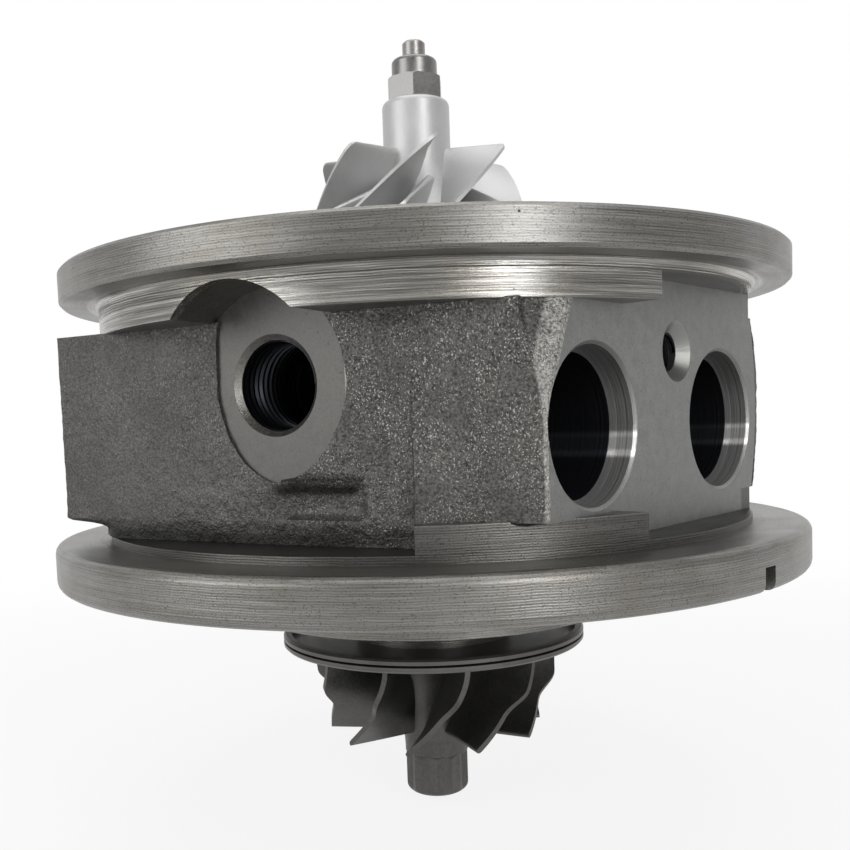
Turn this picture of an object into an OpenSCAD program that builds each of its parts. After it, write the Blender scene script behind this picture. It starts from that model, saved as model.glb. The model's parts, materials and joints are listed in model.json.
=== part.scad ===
// Turbocharger centre cartridge: a water-cooled bearing housing with its rotor, bearings, seals and shield.
// Sizes are in millimetres. The origin is on the rotor axis in the turbine flange's face, and +Z points to
// the compressor. Azimuths are degrees about +Z, counted from -Y towards +X.

/* [Flanges] */
// Radius of the turbine flange's rim
turbine_flange_r = 55; // [54:0.5:62]
// Thickness of the turbine flange
turbine_flange_t = 5.9; // [5:0.1:8]
// Rounding of the turbine flange's two edges
turbine_rim_round = 1.1; // [0.3:0.1:2]
// Radius of the compressor flange's rim
compressor_flange_r = 52.7; // [51:0.1:60]
// Thickness of the compressor flange
compressor_flange_t = 4.55; // [4:0.05:8]
// Chamfer of the compressor flange's two edges
compressor_rim_chamfer = 0.4; // [0.2:0.1:1.2]
// Free height between the two flanges
flange_gap = 32.75; // [32:0.25:44]
// Radius of the recess behind the compressor wheel
wheel_recess_r = 24.5; // [24:0.5:32]
// Depth of the recess behind the compressor wheel
wheel_recess_d = 1.2; // [0.8:0.1:1.8]
// Azimuth of the locating notch in the turbine flange's rim
notch_az = 45.8; // [0:1:359]
// Width of the locating notch
notch_w = 2.5; // [1.5:0.1:6]
// Height of the locating notch from the flange's face
notch_h = 3.1; // [1:0.1:4.5]
// Depth of the locating notch into the rim
notch_d = 1.6; // [0.8:0.1:4]

/* [Casting] */
// Radius of the turned necks beside the flanges
neck_r = 47.4; // [46:0.1:50]
// Height of the turned neck under the compressor flange
upper_neck_h = 4.35; // [3:0.05:6]
// Height of the turned neck above the turbine flange
lower_neck_h = 4.1; // [3:0.1:5]
// Height of the turned shoulders at the foot of both necks
shoulder_h = 1; // [0.6:0.1:2]
// Azimuth where the turned lower neck starts
lower_band_az = -2; // [-10:1:10]
// Angle that the turned lower neck spans
lower_band_sweep = 40; // [20:1:60]
// Radius of the rough casting between the necks, at half height
casting_r = 48.6; // [48:0.1:51]
// Amount by which the rough casting draws in towards the necks
casting_barrel = 0.9; // [0.4:0.1:1.2]
// Radius that the casting's corners reach
corner_r = 53.7; // [52:0.1:56]
// Azimuth of the flat wall around the oil inlet
wall_az = -28; // [-34:1:-22]
// Distance of that wall from the axis
wall_h = 38.6; // [38.5:0.1:42]
// Angle by which the wall bends at the oil inlet
wall_bend = 5; // [0:1:10]
// Distance of the bent part of the wall from the axis
wall_bent_h = 39.2; // [39:0.1:42]
// Depth by which the casting's foot falls back behind the wall
foot_undercut = 0.3; // [0.2:0.1:3]
// Azimuth of the corner between wall and water pad
corner_az = 14; // [10:1:18]
// Angle by which that corner leans in towards the top
corner_lean = 14; // [4:1:16]
// Height at which that corner starts to lean in
corner_lean_z = 22; // [20:0.5:24]
// Depth of the hollow in the wall under the oil inlet
hollow_d = 1.7; // [0.5:0.1:2.5]
// Radius of that hollow
hollow_r = 6; // [5:0.5:9]
// Length of that hollow along the wall
hollow_len = 12; // [8:0.5:14]
// Distance of both corners' sides from the middles of wall and pad
corner_side_s = 23.7; // [22:0.1:26]
// Distance from the axis at which the wall's corner starts
wall_corner_back_h = 15.8; // [12:0.1:20]
// Distance from the axis at which the pad's corner starts
pad_corner_back_h = 23.7; // [20:0.1:28]

/* [Oil inlet] */
// Distance of the oil inlet's face from the axis
inlet_h = 38.5; // [37:0.1:38.8]
// Height of the oil inlet above the turbine flange's face
inlet_z = 26.2; // [24:0.1:26.4]
// Radius of the oil inlet's tapped bore
inlet_r = 5.5; // [4:0.1:6]
// Radius of the chamfer at the oil inlet's mouth
inlet_mouth_r = 6.2; // [6.1:0.1:8]
// Depth of the oil inlet's tapped bore
inlet_depth = 14; // [10:0.5:16]
// Radius of the cutter that faced the oil inlet
spotface_r = 11.8; // [9:0.1:12]
// Radius of the drilled oil galleries
gallery_r = 1.3; // [0.8:0.1:1.5]

/* [Water ports] */
// Azimuth of the water pad
pad_az = 49.75; // [44:0.25:56]
// Distance of the water pad's face from the axis
pad_h = 41; // [40:0.1:43]
// Height of both water ports above the turbine flange's face
port_z = 20.1; // [19.5:0.1:22]
// Place of the left water port along the pad
port_left_s = -18.8; // [-19.5:0.1:-16]
// Place of the right water port along the pad
port_right_s = 14.4; // [13.5:0.1:15]
// Radius of the ports' seal seats
port_r = 9.3; // [9:0.1:9.6]
// Depth of the ports' seal seats
port_seat_d = 3.2; // [2:0.1:5]
// Radius of the ports' inner bores
port_bore_r = 8.6; // [7:0.1:8.8]
// Width of the chamfers at the port and screw mouths
mouth_chamfer = 0.4; // [0.2:0.1:0.8]
// Place of the pad's screw hole along the pad
pad_screw_s = 1.4; // [0:0.1:2]
// Height of the pad's screw hole
pad_screw_z = 29; // [28:0.1:30]
// Radius of the pad's tapped screw hole
pad_screw_r = 2.5; // [2:0.1:3]
// Radius of the countersink at the pad's screw hole
pad_screw_sink_r = 3.9; // [3.2:0.1:4.5]
// Depth of the pad's screw hole
pad_screw_depth = 13; // [8:0.5:14]
// Place along the pad where its face starts to cut the upper neck
pad_open_upper_s = -12; // [-16:0.5:-6]
// Place along the pad where its face starts to cut the lower neck
pad_open_lower_s = -14.5; // [-18:0.5:-8]
// Inner radius of the water jacket
jacket_in_r = 17; // [16:0.5:20]
// Outer radius of the water jacket
jacket_out_r = 30; // [26:0.5:32]
// Height of the water jacket
jacket_height = 11; // [6:0.5:11]
// Angle from the pad's middle at which the water jacket starts
jacket_start = -50; // [-55:1:-40]
// Angle that the water jacket covers
jacket_sweep = 110; // [90:1:115]

/* [Oil drain] */
// Distance of the drain pad's face from the axis
drain_h = 36.3; // [35:0.1:38]
// Height of the drain above the turbine flange's face
drain_z = 22.3; // [21:0.1:24]
// Radius of the drain bore
drain_r = 8; // [6:0.1:9]
// Distance between the drain pad's two tapped holes
drain_bolt_spacing = 40; // [32:0.5:46]
// Radius of the drain pad's tapped holes
drain_bolt_r = 2.5; // [2:0.1:3.5]
// Depth of the drain pad's tapped holes
drain_bolt_depth = 12; // [8:0.5:14]
// Radius of the passage from the turbine end's oil room
slinger_drain_r = 2.4; // [2:0.1:2.6]
// Height of that passage above the oil room's floor
slinger_drain_step = 0.4; // [0.2:0.1:0.6]
// Radius of the passage from the thrust chamber
thrust_drain_r = 3.4; // [3:0.1:3.6]
// Radius of the turbine end's oil room
oil_cavity_r = 9.5; // [9:0.1:10]
// Radius of the oil room between the bearings
drain_cavity_r = 11; // [10:0.1:12]
// Radius of the thrust chamber
thrust_chamber_r = 14; // [13:0.1:14.5]
// Depth of the thrust chamber under the thrust bearing
thrust_chamber_h = 2.6; // [2.4:0.1:2.7]
// Height of the turbine end's oil room
slinger_room_h = 3.8; // [3.6:0.1:4]

/* [Turbine end] */
// Radius of the boss under the turbine flange
turbine_boss_r = 28.1; // [26:0.1:34]
// Height of the boss under the turbine flange
turbine_boss_h = 6.85; // [5:0.05:8]
// Radius of the housing's nose that carries the heat shield
nose_r = 12; // [10:0.1:14]
// Distance from the turbine flange's face to the nose's end
nose_h = 11.7; // [11:0.1:13]
// Radius of the seal bore in the nose
nose_bore_r = 6.6; // [6.4:0.1:7]
// Radius of the heat shield
shield_r = 23.2; // [21:0.1:26]
// Thickness of the heat shield's sheet
shield_t = 0.8; // [0.5:0.1:1.2]
// Height of the heat shield's grooved rim
shield_rim_h = 1.95; // [1.7:0.05:3]
// Radius of the heat shield's centre hole
shield_hole_r = 7.3; // [7:0.1:9]
// Gap between the heat shield and the turbine wheel
shield_wheel_gap = 0.6; // [0.4:0.1:1.2]
// Height of each lip of the heat shield's rim
shield_lip_h = 0.8; // [0.4:0.05:0.8]
// Depth of the groove in the heat shield's rim
shield_groove_d = 0.6; // [0.3:0.05:0.8]
// Radial width of the heat shield's rim
shield_rim_w = 1.2; // [1:0.1:2]
// Chamfer of the heat shield's rim
shield_edge = 0.3; // [0.1:0.05:0.35]

/* [Turbine wheel] */
// Number of turbine blades
turbine_blades = 10; // [8:1:12]
// Azimuth of the first turbine blade's upper edge
turbine_blade_az = 14.4; // [0:0.1:36]
// Radius of the turbine blades at their inlet
turbine_r = 18.7; // [17:0.1:20]
// Radius of the turbine blades at their outlet
turbine_out_r = 16.4; // [14:0.1:16.6]
// Radius of the turbine wheel's back disc
turbine_disc_r = 15.5; // [13:0.1:16.5]
// Thickness of the turbine wheel's back disc at its rim
turbine_disc_t = 0.9; // [0.6:0.1:2]
// Height of the turbine blades along the tip
turbine_blade_h = 12.9; // [10:0.1:15]
// Height of the turbine blades along the root
turbine_root_h = 13.6; // [12:0.1:15]
// Height at which the blade tips start to draw in
turbine_inlet_h = 4.6; // [3:0.1:6]
// Angle that a turbine blade turns from top to bottom
turbine_wrap = 30; // [10:1:45]
// Exponent of the turbine blades' turning
turbine_bend = 1.9; // [1:0.1:3]
// Thickness of the turbine blades at their tips
turbine_tip_t = 0.75; // [0.5:0.05:1.2]
// Radius of the turbine hub where the blades end
turbine_hub_r = 4.9; // [4.7:0.1:7]
// Length of the turbine hub below its back face
turbine_hub_h = 17.2; // [16:0.1:19]
// Corner radius of the turbine wheel's twelve-point end
turbine_nut_r = 5; // [4:0.1:6]
// Length of the turbine wheel's twelve-point end
turbine_nut_h = 6.55; // [5:0.05:9]
// Height over which the blade tips draw in
turbine_fall_h = 3.87; // [3:0.01:5]
// Thickness of the turbine blades at their roots
turbine_root_t = 1.35; // [1:0.05:1.8]
// Rounding of the twelve-point end's lower edge
turbine_nut_round = 1.75; // [1:0.05:2.2]

/* [Compressor wheel] */
// Number of full compressor blades, with as many splitters
compressor_blades = 7; // [5:1:8]
// Azimuth of the first full blade's leading tip
compressor_blade_az = 12.4; // [0:0.1:51]
// Radius of the compressor wheel
compressor_r = 22; // [20:0.1:23.5]
// Radius of the full blades' leading tips
inducer_r = 14.5; // [12:0.1:16]
// Thickness of the compressor wheel's back disc at its rim
compressor_disc_t = 0.8; // [0.6:0.1:1.5]
// Width of the blades at the compressor wheel's rim
compressor_out_w = 2.7; // [2:0.1:4]
// Distance from the back face to the full blades' leading edges
inducer_h = 17.9; // [16:0.1:21]
// Distance from the full blades' leading tips down to the splitters' leading tips
splitter_drop = 9.3; // [7:0.1:10.5]
// Distance from the full blades' leading tips down to the tops of the splitters' roots
splitter_root_drop = 3.3; // [2:0.1:5]
// Angle that a full compressor blade turns
compressor_wrap = 62; // [30:1:75]
// Thickness of the compressor blades at their tips
compressor_tip_t = 0.45; // [0.4:0.05:0.8]
// Radius of the compressor wheel's nose
compressor_nose_r = 5.05; // [4.6:0.05:6]
// Length of the compressor wheel from its back face to its top
compressor_h = 26.15; // [24:0.05:30]
// Rounding of the compressor wheel's top edge
compressor_nose_round = 0.9; // [0.3:0.1:1.4]
// Gap between the recess floor and the compressor wheel
compressor_gap = 0.85; // [0.5:0.05:1.5]
// Thickness of the compressor blades at their roots
compressor_root_t = 0.9; // [0.7:0.05:1.2]
// Height of the hub's end above the full blades' leading edges
compressor_hub_over = 1.6; // [1:0.1:2]
// Height of the boss under the compressor wheel's back face
compressor_boss_h = 0.3; // [0.2:0.05:0.4]

/* [Shaft and nut] */
// Radius of the shaft's journals
journal_r = 4; // [3.8:0.1:4.2]
// Radius of the shaft between its journals
shaft_waist_r = 3.7; // [3.2:0.1:3.7]
// Radius of the shaft's stem through the compressor wheel
stem_r = 3; // [2.6:0.1:3.1]
// Radius of the shaft's threaded end
thread_r = 2.5; // [2:0.1:2.5]
// Radius of the shaft's tip
tip_r = 1.7; // [1:0.1:1.9]
// Height of the shaft's tip above the nut
tip_h = 2.65; // [1:0.05:4]
// Radius of the shaft's seal hub
seal_hub_r = 6.3; // [6:0.05:6.35]
// Width across the nut's flats
nut_flats = 7.7; // [7:0.1:9]
// Height of the nut's hexagon
nut_hex_h = 3.35; // [2.5:0.05:5]
// Radius of the nut's round collar
nut_collar_r = 3.4; // [3.1:0.05:3.5]
// Height of the nut's round collar
nut_collar_h = 2.85; // [1.5:0.05:4]
// Rounding of the nut's top edge
nut_round = 0.6; // [0.2:0.1:0.8]
// Azimuth of a corner of the nut's hexagon
nut_corner_az = -3; // [-30:1:30]
// Length of the threaded end under the nut
thread_lead = 1; // [0.5:0.1:2]
// Depth of the thread's end under the nut's top
thread_end_d = 0.3; // [0.1:0.1:0.6]
// Chamfer of the shaft's tip
tip_chamfer = 0.3; // [0.1:0.1:0.6]
// Radius of the hexagon's chamfered top
nut_chamfer_r = 4.08; // [3.9:0.02:4.4]

/* [Bearings and seals] */
// Radius of the journal bearings outside
bearing_r = 6.8; // [6.4:0.05:7]
// Length of each journal bearing
bearing_h = 7.2; // [6:0.1:7.4]
// Height of the turbine side bearing's lower end
turbine_bearing_z = 3.4; // [3.2:0.1:3.6]
// Height of the compressor side bearing's lower end
compressor_bearing_z = 20.9; // [20.7:0.1:21]
// Radius of the oil holes through the journal bearings
bearing_hole_r = 0.9; // [0.5:0.1:1.2]
// Number of oil holes through each journal bearing
bearing_holes = 6; // [3:1:8]
// Running clearance of bearings on the shaft and in the housing
running_gap = 0.05; // [0.03:0.01:0.08]
// Clearance of stacked pieces on the shaft's stem
slip_gap = 0.02; // [0.01:0.01:0.05]
// Thickness of the circlips beside the bearings
circlip_t = 0.9; // [0.6:0.1:1]
// Radial width of the circlips
circlip_w = 1.5; // [1.2:0.1:1.8]
// Axial gap between a circlip and its bearing
circlip_gap = 0.2; // [0.1:0.05:0.3]
// Thickness of the thrust bearing
thrust_t = 2.8; // [2:0.1:3.5]
// Radius of the bore in the thrust bearing
thrust_bore_r = 4.95; // [4.9:0.05:5.4]
// Radius of the two thrust collars
thrust_collar_r = 8; // [7:0.1:9]
// Thickness of the two thrust collars
thrust_collar_t = 1.5; // [1:0.1:1.8]
// Radius of the sleeve between the thrust collars
thrust_sleeve_r = 4.6; // [4:0.05:4.65]
// Axial gap at each face of the thrust bearing
thrust_gap = 0.1; // [0.05:0.05:0.2]
// Radius of the bore that holds thrust bearing and seal plate
insert_r = 20; // [19.5:0.1:21]
// Radial clearance of the inserts in that bore
insert_gap = 0.2; // [0.1:0.05:0.3]
// Radius of the two locating pins
pin_r = 1.5; // [1:0.1:1.8]
// Distance of the locating pins from the axis
pin_place_r = 16.6; // [16.2:0.1:17]
// Thickness of the oil deflector's sheet
deflector_t = 0.7; // [0.4:0.1:1]
// Radius of the oil deflector's hole
deflector_hole_r = 9; // [8.5:0.1:10]
// Thickness of the seal plate
seal_plate_t = 4.5; // [4:0.1:4.8]
// Radius of the seal sleeve
seal_sleeve_r = 5.8; // [5.4:0.1:6]
// Radial clearance of the rotor in the seal bores
seal_gap = 0.3; // [0.2:0.05:0.4]
// Section radius of the seal plate's O-ring
o_ring_r = 0.9; // [0.7:0.05:1]
// Thickness of the seal plate's snap ring
snap_ring_t = 0.8; // [0.6:0.1:1]
// Radial width of the snap ring
snap_ring_w = 2.6; // [2:0.1:3]
// Depth of the snap ring under the recess floor
snap_ring_depth = 0.6; // [0.4:0.1:1]
// Angle of the snap ring's opening
snap_ring_opening = 16; // [10:1:40]
// Thickness of the piston rings
piston_ring_t = 1; // [0.8:0.1:1.2]
// Radial width of the piston rings
piston_ring_w = 1.1; // [0.9:0.05:1.2]
// Axial clearance of the piston rings in their grooves
piston_ring_gap = 0.1; // [0.05:0.05:0.15]
// Chamfer of the journal bearings' ends
bearing_chamfer = 0.4; // [0.2:0.1:0.6]
// Length of the turbine side bearing bore below its circlip
turbine_land_low = 1.1; // [1:0.1:1.2]
// Length of the turbine side bearing bore above its circlip
turbine_land_high = 1.7; // [1.5:0.1:1.9]
// Length of the compressor side bearing bore below its circlip
compressor_land_low = 1.2; // [1:0.1:1.4]
// Depth of the circlips' grooves
circlip_groove_d = 0.8; // [0.6:0.1:1]
// Angle of the circlips' opening
circlip_opening = 50; // [30:1:60]
// Axial clearance of circlips and snap ring in their grooves
groove_gap = 0.05; // [0.02:0.01:0.08]
// Depth of the snap ring's groove
snap_groove_d = 1; // [0.8:0.1:1.3]
// Angle of the piston rings' opening
piston_ring_opening = 3; // [2:1:5]
// Distance from the nose's end to the turbine piston ring
turbine_ring_depth = 3.2; // [3:0.1:3.4]
// Distance from the seal plate's top to its piston ring
compressor_ring_depth = 1.9; // [1.8:0.1:2]
// Height of the seal hub's end above the oil room's floor
seal_hub_over = 1.2; // [1:0.1:1.4]
// Distance of the wheel's weld from the nose's end
weld_drop = 0.3; // [0.2:0.1:0.4]
// Depth of the thrust bearing's oil pockets
oil_pocket_d = 0.3; // [0.1:0.1:0.5]
// Width of the thrust bearing's oil pockets
oil_pocket_w = 1.2; // [0.8:0.1:2]
// Distance of the oil pockets from the thrust collar's rim
oil_pocket_land = 0.8; // [0.4:0.1:1.2]
// Gap at both ends of the locating pins
pin_end_gap = 0.2; // [0.1:0.05:0.4]
// Height of the oil deflector's collar
deflector_collar_h = 0.8; // [0.4:0.1:1]
// Distance of the oil deflector's flat side from the thrust chamber
deflector_overhang = 2; // [1:0.1:3]
// Clearance of the O-ring in its groove
o_ring_gap = 0.1; // [0.05:0.05:0.15]
// Height of the seal plate's room above the upper thrust collar
seal_room_h = 0.7; // [0.6:0.1:0.8]
// Radial gap between the seal plate's room and the oil deflector
seal_room_gap = 0.3; // [0.2:0.1:0.5]
// Chamfer of the seal plate's rim
seal_plate_chamfer = 0.5; // [0.2:0.1:0.8]

/* [Hidden] */
$fn = 96;

// Overlap that keeps cuts from ending on a face
eps = 0.1;
// Length that passes any piece of the part
reach = 2 * turbine_flange_r;
// Clearance of a ring that springs out against its bore
spring_gap = 0.02;
// Share of the turbine hub's radius at which the blade roots end inside the metal
turbine_root_share = 0.8;
// Depth of the compressor blades' roots under the hub's surface, and the share of the hub that they follow
compressor_root_d = 0.48;
compressor_root_share = 0.97;

// Heights of the housing's main faces
upper_flange_z = turbine_flange_t + flange_gap;
housing_top_z = upper_flange_z + compressor_flange_t;
recess_z = housing_top_z - wheel_recess_d;
block_low_z = turbine_flange_t + lower_neck_h;
block_high_z = upper_flange_z - upper_neck_h;
block_mid_z = (block_low_z + block_high_z) / 2;

// Drain pad, square to the oil inlet's wall
drain_az = wall_az - 90;

// Azimuths of the thrust bearing's pins, clear of the oil feed and the drain
pin_azimuths = [drain_az - 120, drain_az + 120];

// Distance from the axis of the corner where the wall meets the water pad
pad_wall_turn = pad_az - wall_az - wall_bend;
corner_edge_r = norm([pad_h, (wall_bent_h - pad_h * cos(pad_wall_turn)) / sin(pad_wall_turn)]);

// Heights of the stack on the compressor side, from the recess floor down
snap_high_z = recess_z - snap_ring_depth;
snap_low_z = snap_high_z - snap_ring_t;
seal_plate_high_z = snap_low_z;
seal_plate_low_z = seal_plate_high_z - seal_plate_t;
deflector_low_z = seal_plate_low_z - deflector_t;
thrust_low_z = deflector_low_z - thrust_t;
thrust_shoulder_z = thrust_low_z - thrust_gap - thrust_collar_t;
sleeve_low_z = deflector_low_z + thrust_gap;
wheel_back_z = recess_z + compressor_gap;
sleeve_high_z = wheel_back_z - compressor_boss_h;
nut_low_z = wheel_back_z + compressor_h;
nut_high_z = nut_low_z + nut_hex_h + nut_collar_h;

// Bores around the journal bearings
bearing_bore_r = bearing_r + running_gap;
circlip_groove_r = bearing_bore_r + circlip_groove_d;
snap_groove_r = insert_r + snap_groove_d;
turbine_bore_low_z = turbine_bearing_z - circlip_gap - circlip_t - turbine_land_low;
turbine_bore_high_z = turbine_bearing_z + bearing_h + circlip_gap + circlip_t + turbine_land_high;
compressor_bore_low_z = compressor_bearing_z - circlip_gap - circlip_t - compressor_land_low;
compressor_bore_high_z = thrust_low_z - thrust_chamber_h;
slinger_low_z = turbine_bore_low_z - slinger_room_h;

// Turbine end
shield_low_z = -nose_h - shield_t;
turbine_back_z = shield_low_z - shield_wheel_gap;
weld_z = -nose_h - weld_drop;
seal_hub_high_z = slinger_low_z + seal_hub_over;
turbine_ring_z = -nose_h + turbine_ring_depth;
compressor_ring_z = seal_plate_high_z - compressor_ring_depth;
turbine_hub_low_z = turbine_back_z - turbine_hub_h;

// Points of an arc about (x, y), from angle a to angle b
function arc(x, y, r, a, b, steps = 4) =
    [for (i = [0:steps]) [x + r * cos(a + (b - a) * i / steps), y + r * sin(a + (b - a) * i / steps)]];

// A value on the straight line from a to b
function mix(a, b, t) = a + (b - a) * t;

// Turns a shape drawn on the -Y side to an azimuth
module at_azimuth(az) {
    rotate([0, 0, az])
        children();
}

// A round cut into a face that stands at distance h from the axis, at place s along it and height z
module drilled(s, h, z, r, depth) {
    translate([s, -h - eps, z])
        rotate([-90, 0, 0])
            cylinder(r = r, h = depth + eps);
}

// A conical mouth on such a cut, from radius r_out at the face to r_in
module countersunk(s, h, z, r_out, r_in) {
    translate([s, -h - eps, z])
        rotate([-90, 0, 0])
            cylinder(r1 = r_out + eps, r2 = r_in, h = r_out - r_in + eps);
}

// Everything farther than h from the axis on the -Y side, between two places and two heights
module beyond(h, s_low, s_high, z_low, z_high) {
    translate([s_low, -reach, z_low])
        cube([s_high - s_low, reach - h, z_high - z_low]);
}

// The plan of all that lies nearer than h to the axis on the -Y side
module within(h) {
    translate([-reach, -h])
        square([2 * reach, reach + h]);
}

// A solid of revolution between two radii and two heights
module ring(r_in, r_out, z_low, z_high) {
    translate([0, 0, z_low])
        difference() {
            cylinder(r = r_out, h = z_high - z_low);
            translate([0, 0, -eps])
                cylinder(r = r_in, h = z_high - z_low + 2 * eps);
        }
}

// A ring that is split by a gap of the given angle about its azimuth
module split_ring(r_in, r_out, z_low, z_high, az, gap) {
    rotate([0, 0, az - 90 + gap / 2])
        rotate_extrude(angle = 360 - gap)
            translate([r_in, z_low])
                square([r_out - r_in, z_high - z_low]);
}

// Flange with rounded edges at the turbine end
module turbine_flange() {
    c = turbine_rim_round;
    rotate_extrude()
        polygon(concat(
            [[0, 0]],
            arc(turbine_flange_r - c, c, c, -90, 0),
            arc(turbine_flange_r - c, turbine_flange_t - c, c, 0, 90),
            [[0, turbine_flange_t]]
        ));
}

// Flange with chamfered edges at the compressor end
module compressor_flange() {
    c = compressor_rim_chamfer;
    r = compressor_flange_r;
    rotate_extrude()
        polygon([
            [0, upper_flange_z], [r - c, upper_flange_z], [r, upper_flange_z + c],
            [r, housing_top_z - c], [r - c, housing_top_z], [0, housing_top_z]
        ]);
}

// Plan of the two flat walls, with all that lies behind them moved back by a given depth
module wall_plan(back) {
    intersection() {
        rotate(wall_az)
            within(wall_h - back);
        rotate(wall_az + wall_bend)
            within(wall_bent_h - back);
    }
}

// Plan of the two corners that stand out of the round casting
module corner_plan() {
    intersection() {
        circle(r = corner_r);
        union() {
            rotate(wall_az)
                translate([-reach, -reach])
                    square([reach - corner_side_s, reach - wall_corner_back_h]);
            rotate(pad_az)
                translate([-reach, -reach])
                    square([reach - corner_side_s, reach - pad_corner_back_h]);
        }
    }
}

// Plan of the machined pads and walls that bound the casting
module casting_limits() {
    intersection() {
        wall_plan(0);
        rotate(drain_az)
            within(drain_h);
        rotate(pad_az)
            within(pad_h);
    }
}

// Rough casting between the necks: a barrel with two corners, cut by the walls and pads
module casting() {
    height = block_high_z - block_low_z;
    steps = 8;
    difference() {
        translate([0, 0, block_low_z])
            intersection() {
                union() {
                    rotate_extrude()
                        polygon(concat(
                            [[0, 0]],
                            [for (i = [0:steps]) [
                                casting_r - casting_barrel * pow(2 * i / steps - 1, 2), height * i / steps
                            ]],
                            [[0, height]]
                        ));
                    linear_extrude(height)
                        corner_plan();
                }
                linear_extrude(height)
                    casting_limits();
            }
        at_azimuth(corner_az)
            translate([0, -corner_edge_r, corner_lean_z])
                rotate([-corner_lean, 0, 0])
                    translate([-reach / 2, -reach, -reach / 2])
                        cube([reach, reach, reach]);
        at_azimuth(wall_az + wall_bend)
            translate([-hollow_len / 4, -wall_bent_h - hollow_r + hollow_d, block_low_z + hollow_d])
                rotate([0, 90, 0])
                    cylinder(r = hollow_r, h = hollow_len);
    }
}

// Plan of the foot between casting and turbine flange: undercut at the walls, but full in the turned sector
module foot_plan() {
    sector = [for (i = [0:2]) lower_band_az + lower_band_sweep * i / 2];
    intersection() {
        circle(r = neck_r);
        union() {
            wall_plan(foot_undercut);
            polygon(concat([[0, 0]], [for (a = sector) reach * [sin(a), -cos(a)]]));
        }
    }
}

// Outer form of the housing before any machining of pads and bores
module housing_form() {
    turbine_flange();
    compressor_flange();
    translate([0, 0, -turbine_boss_h])
        cylinder(r = turbine_boss_r, h = turbine_boss_h + eps);
    translate([0, 0, -nose_h])
        cylinder(r = nose_r, h = nose_h);
    translate([0, 0, turbine_flange_t - eps])
        cylinder(r = neck_r, h = shoulder_h + eps);
    translate([0, 0, turbine_flange_t - eps])
        linear_extrude(lower_neck_h + 2 * eps)
            foot_plan();
    casting();
    translate([0, 0, block_high_z - eps])
        cylinder(r = neck_r, h = upper_neck_h + 2 * eps);
}

// Oil inlet with its faced seat and the drillings that feed the bearings
module oil_inlet_cuts() {
    gallery_z = compressor_bearing_z + bearing_h / 2;
    low_end = [-bearing_r, turbine_bearing_z + bearing_h / 2];
    high_end = [inlet_depth - inlet_h - gallery_r, inlet_z - inlet_r + gallery_r];
    run = norm(high_end - low_end);
    tilt = atan2(high_end[0] - low_end[0], high_end[1] - low_end[1]);
    at_azimuth(wall_az) {
        translate([0, -inlet_h, inlet_z])
            rotate([90, 0, 0])
                cylinder(r = spotface_r, h = reach - inlet_h);
        drilled(0, inlet_h, inlet_z, inlet_r, inlet_depth);
        countersunk(0, inlet_h, inlet_z, inlet_mouth_r, inlet_r);
        translate([0, 0, gallery_z])
            rotate([90, 0, 0])
                cylinder(r = gallery_r, h = inlet_h - inlet_depth + eps);
        translate([0, low_end[0], low_end[1]])
            rotate([-tilt, 0, 0])
                cylinder(r = gallery_r, h = run);
        translate([0, -pin_place_r, gallery_z])
            cylinder(r = gallery_r, h = thrust_low_z - gallery_z + eps);
    }
}

// Water pad with its two ports, its screw hole and the jacket behind them
module water_cuts() {
    jacket_low_z = port_z - jacket_height / 2;
    at_azimuth(pad_az) {
        beyond(pad_h, pad_open_upper_s, reach, block_mid_z, upper_flange_z - shoulder_h);
        beyond(pad_h, pad_open_lower_s, reach, turbine_flange_t + shoulder_h, block_mid_z);
        for (s = [port_left_s, port_right_s]) {
            countersunk(s, pad_h, port_z, port_r + mouth_chamfer, port_r);
            drilled(s, pad_h, port_z, port_r, port_seat_d);
            drilled(s, pad_h, port_z, port_bore_r, pad_h - jacket_in_r - gallery_r);
        }
        countersunk(pad_screw_s, pad_h, pad_screw_z, pad_screw_sink_r, pad_screw_r);
        drilled(pad_screw_s, pad_h, pad_screw_z, pad_screw_r, pad_screw_depth);
    }
    rotate([0, 0, pad_az - 90 + jacket_start])
        rotate_extrude(angle = jacket_sweep)
            translate([jacket_in_r, jacket_low_z])
                square([jacket_out_r - jacket_in_r, jacket_height]);
}

// Drain bore with its two tapped holes and the passages that lead to it
module drain_cuts() {
    at_azimuth(drain_az) {
        drilled(0, drain_h, drain_z, drain_r, drain_h - oil_cavity_r);
        for (side = [-1, 1])
            drilled(side * drain_bolt_spacing / 2, drain_h, drain_z, drain_bolt_r, drain_bolt_depth);
        translate([0, -oil_cavity_r - slinger_drain_r / 2, slinger_low_z + slinger_drain_step])
            cylinder(r = slinger_drain_r, h = drain_z - slinger_low_z);
        translate([0, -oil_cavity_r - slinger_drain_r, drain_z])
            cylinder(r = thrust_drain_r, h = thrust_low_z - drain_z);
    }
}

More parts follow.
